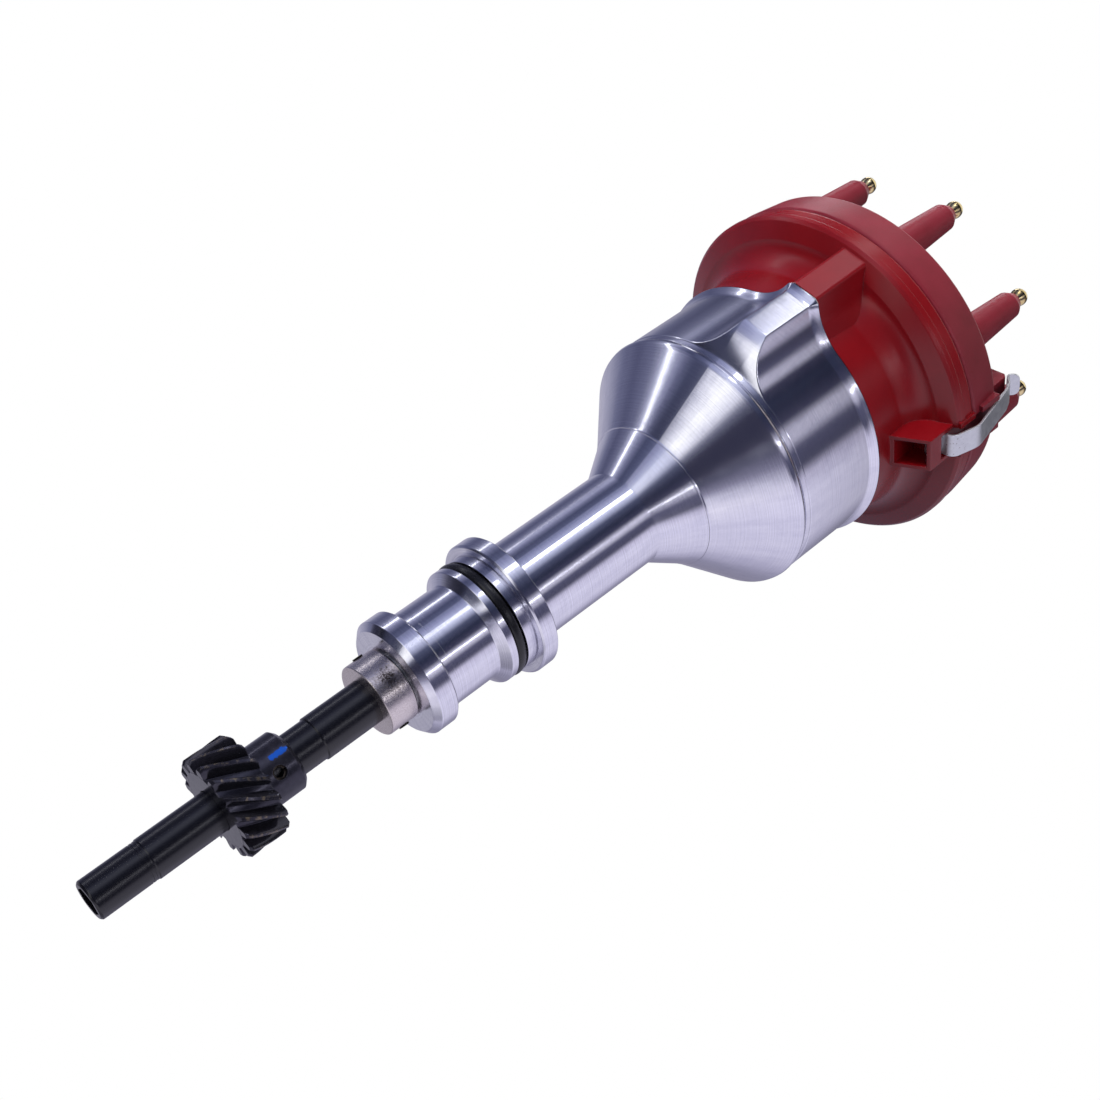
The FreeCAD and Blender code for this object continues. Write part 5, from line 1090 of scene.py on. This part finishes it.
# %% White surround
world = bpy.data.worlds.new("white_surround")
world.use_nodes = True
tree = world.node_tree
tree.nodes.clear()
path = add(tree, "LightPath").outputs
seen = add(tree, "Math", {0: path["Is Camera Ray"], 1: path["Is Glossy Ray"]}, operation="MAXIMUM")
seen = add(tree, "Math", {0: seen, 1: path["Is Transmission Ray"]}, operation="MAXIMUM")
strength = add(tree, "MapRange", {"Value": seen, "To Min": 0.3, "To Max": 1.0})
surround = add(tree, "Background", {"Color": (1, 1, 1, 1), "Strength": strength})
add(tree, "OutputWorld", {"Surface": surround})
bpy.context.scene.world = world
print("surround:", world.name)

# %% [markdown]
# Three soft round lamps stand where a photographer would put them, seen from the camera.


# %% Lamps
def lamp(name, across, height, back, size, power):
    """A soft lamp placed in the camera's directions from the middle of the object, in metres."""
    data = bpy.data.lights.new(name, "AREA")
    data.shape = "DISK"
    data.size = size
    data.energy = power
    aim = Vector((0, 0, 0.06))
    place = aim + right * across + up * height - forward * back
    made = placed(name, data)
    turn = (place - aim).to_track_quat("Z", "Y").to_matrix().to_4x4()
    made.matrix_world = Matrix.Translation(place) @ turn
    made.visible_camera = False
    made.visible_glossy = False


lamp("key_lamp", -0.45, 0.85, 0.75, 0.6, 16.5)
lamp("fill_lamp", 0.9, -0.1, 0.8, 0.9, 3.4)
lamp("top_lamp", 0.5, 1.0, -0.6, 0.6, 11.0)
print("lamps:", [made.name for made in bpy.data.lights])

# %% [markdown]
# The cards stand in a drum round the object and lie under it. Their tone changes with the angle
# round the shaft, as dark and pale cards would stand side by side. Narrow lights in front of
# them draw the crisp white lines that polished metal shows.


# %% Cards that only reflections see
drum_radius = 400
drum_foot = -212


def card(name, stops):
    """Printed card: its tone goes by the angle round the shaft, zero where the camera stands."""
    material, tree, place = new_material(name)
    turned = add(tree, "VectorRotate", {"Vector": place, "Angle": radians(-camera_turn)},
        rotation_type="Z_AXIS")
    parts = add(tree, "SeparateXYZ", {0: turned})
    angle = add(tree, "Math", {0: parts.outputs["Y"], 1: parts.outputs["X"]}, operation="ARCTAN2")
    share = add(tree, "MapRange", {"Value": angle, "From Min": -pi, "From Max": pi})
    tone = add(tree, "ValToRGB", {"Fac": share},
        stops=[((turn + 180) / 360, tint) for turn, tint in stops])
    # Cards under their own lamps: white paper is brighter than the surround, and fades upwards.
    height = add(tree, "SeparateXYZ", {0: place})
    light = add(tree, "MapRange", {"Value": height.outputs["Z"], "From Min": 330 * MM,
        "From Max": 540 * MM, "To Min": 1.3, "To Max": 0.12})
    return surfaced(material, {"Color": tone, "Strength": light}, "Emission")


print("drum round the object: radius", drum_radius, "mm")

# %% [markdown]
# Each card is a list of angles and tones: dark where the metal should go dark, pale where it
# should shine. The one below is seen by the cones, which look down.

# %% Tones of the cards
around = card("cards_around", [
    (-180, "#a4a2b0"), (180, "#a4a2b0"), (-158, "#a2a0b2"), (-146, "#8e8ea2"), (-134, "#646680"),
    (-120, "#4c4e68"), (-106, "#62647e"), (-99, "#8e90a8"), (-91, "#9c9eb8"), (-83, "#6c6e8a"),
    (-73, "#3e425c"), (-60, "#525672"), (-49, "#8a8eb0"), (-43, "#bcc0da"), (-30, "#c4c8e0"),
    (-25, "#a8acc6"), (-15, "#484c64"), (0, "#262a3e"), (13, "#38384e"), (20, "#b4b2c4"),
    (28, "#b4b2c4"), (35, "#4c4c64"), (50, "#444458"), (59, "#bab6cc"), (72, "#cecbdf"),
    (120, "#c0bdd1"), (134, "#a29fb5"), (146, "#848296"), (160, "#7c798c")])
below = card("card_below", [
    (-180, "#8c8a98"), (180, "#8c8a98"), (-150, "#9694a2"), (-135, "#6e6e80"), (-126, "#2c2c3c"),
    (-108, "#101018"), (-98, "#2e3042"), (-90, "#3c3e52"), (-70, "#34364a"), (-63, "#44465c"),
    (-56, "#e0e0ec"), (-48, "#ffffff"), (-36, "#ffffff"), (-27, "#dcdce8"), (-19, "#5c5e72"),
    (-8, "#2e2e40"), (18, "#2c2c3e"), (32, "#46465a"), (45, "#78768c"), (56, "#c2c0d2"),
    (70, "#d6d3e2"), (98, "#cecbda"), (112, "#a8a6b4"), (130, "#7e7c8c")])
drum_wall = [(drum_radius + 1, drum_foot), (drum_radius, drum_foot), (drum_radius, 900),
    (drum_radius + 1, 900)]
drum_floor = [(0, drum_foot - 0.5), (drum_radius, drum_foot - 0.5), (drum_radius, drum_foot),
    (0, drum_foot)]
cards = [(lathe("cards_around", drum_wall), around), (lathe("card_below", drum_floor), below)]
print("cards:", len(cards))

# %% [markdown]
# Tube lights are narrow and bright, and hang just in front of the cards.


# %% Tube lights
def tube_light(turn, half_width, low, high, strength):
    """A narrow bright light in front of the cards: it draws the crisp white lines in the metal."""
    shine = {"Color": linear("#f6f7ff"), "Strength": strength}
    glass = surfaced(new_material("tube_light")[0], shine, "Emission")
    near = (drum_radius - 6, -half_width, low)
    far = (drum_radius - 4, half_width, high)
    return box("tube_light", near, far, turn + camera_turn), glass


tubes = [(-37, 26, 170, 375, 4.0), (22, 7, -200, 210, 3.5), (-94, 10, -200, 190, 3.0),
    (-50, 45, 376, 640, 1.8), (-115, 120, 540, 880, 4.0)]
cards += [tube_light(*tube) for tube in tubes]
for piece, printed in cards:
    piece.data.materials.append(printed)
    for ray in ("camera", "diffuse", "shadow", "transmission"):
        setattr(piece, "visible_" + ray, False)

view = bpy.context.scene.view_settings
view.view_transform = "Standard"
print("studio ready")
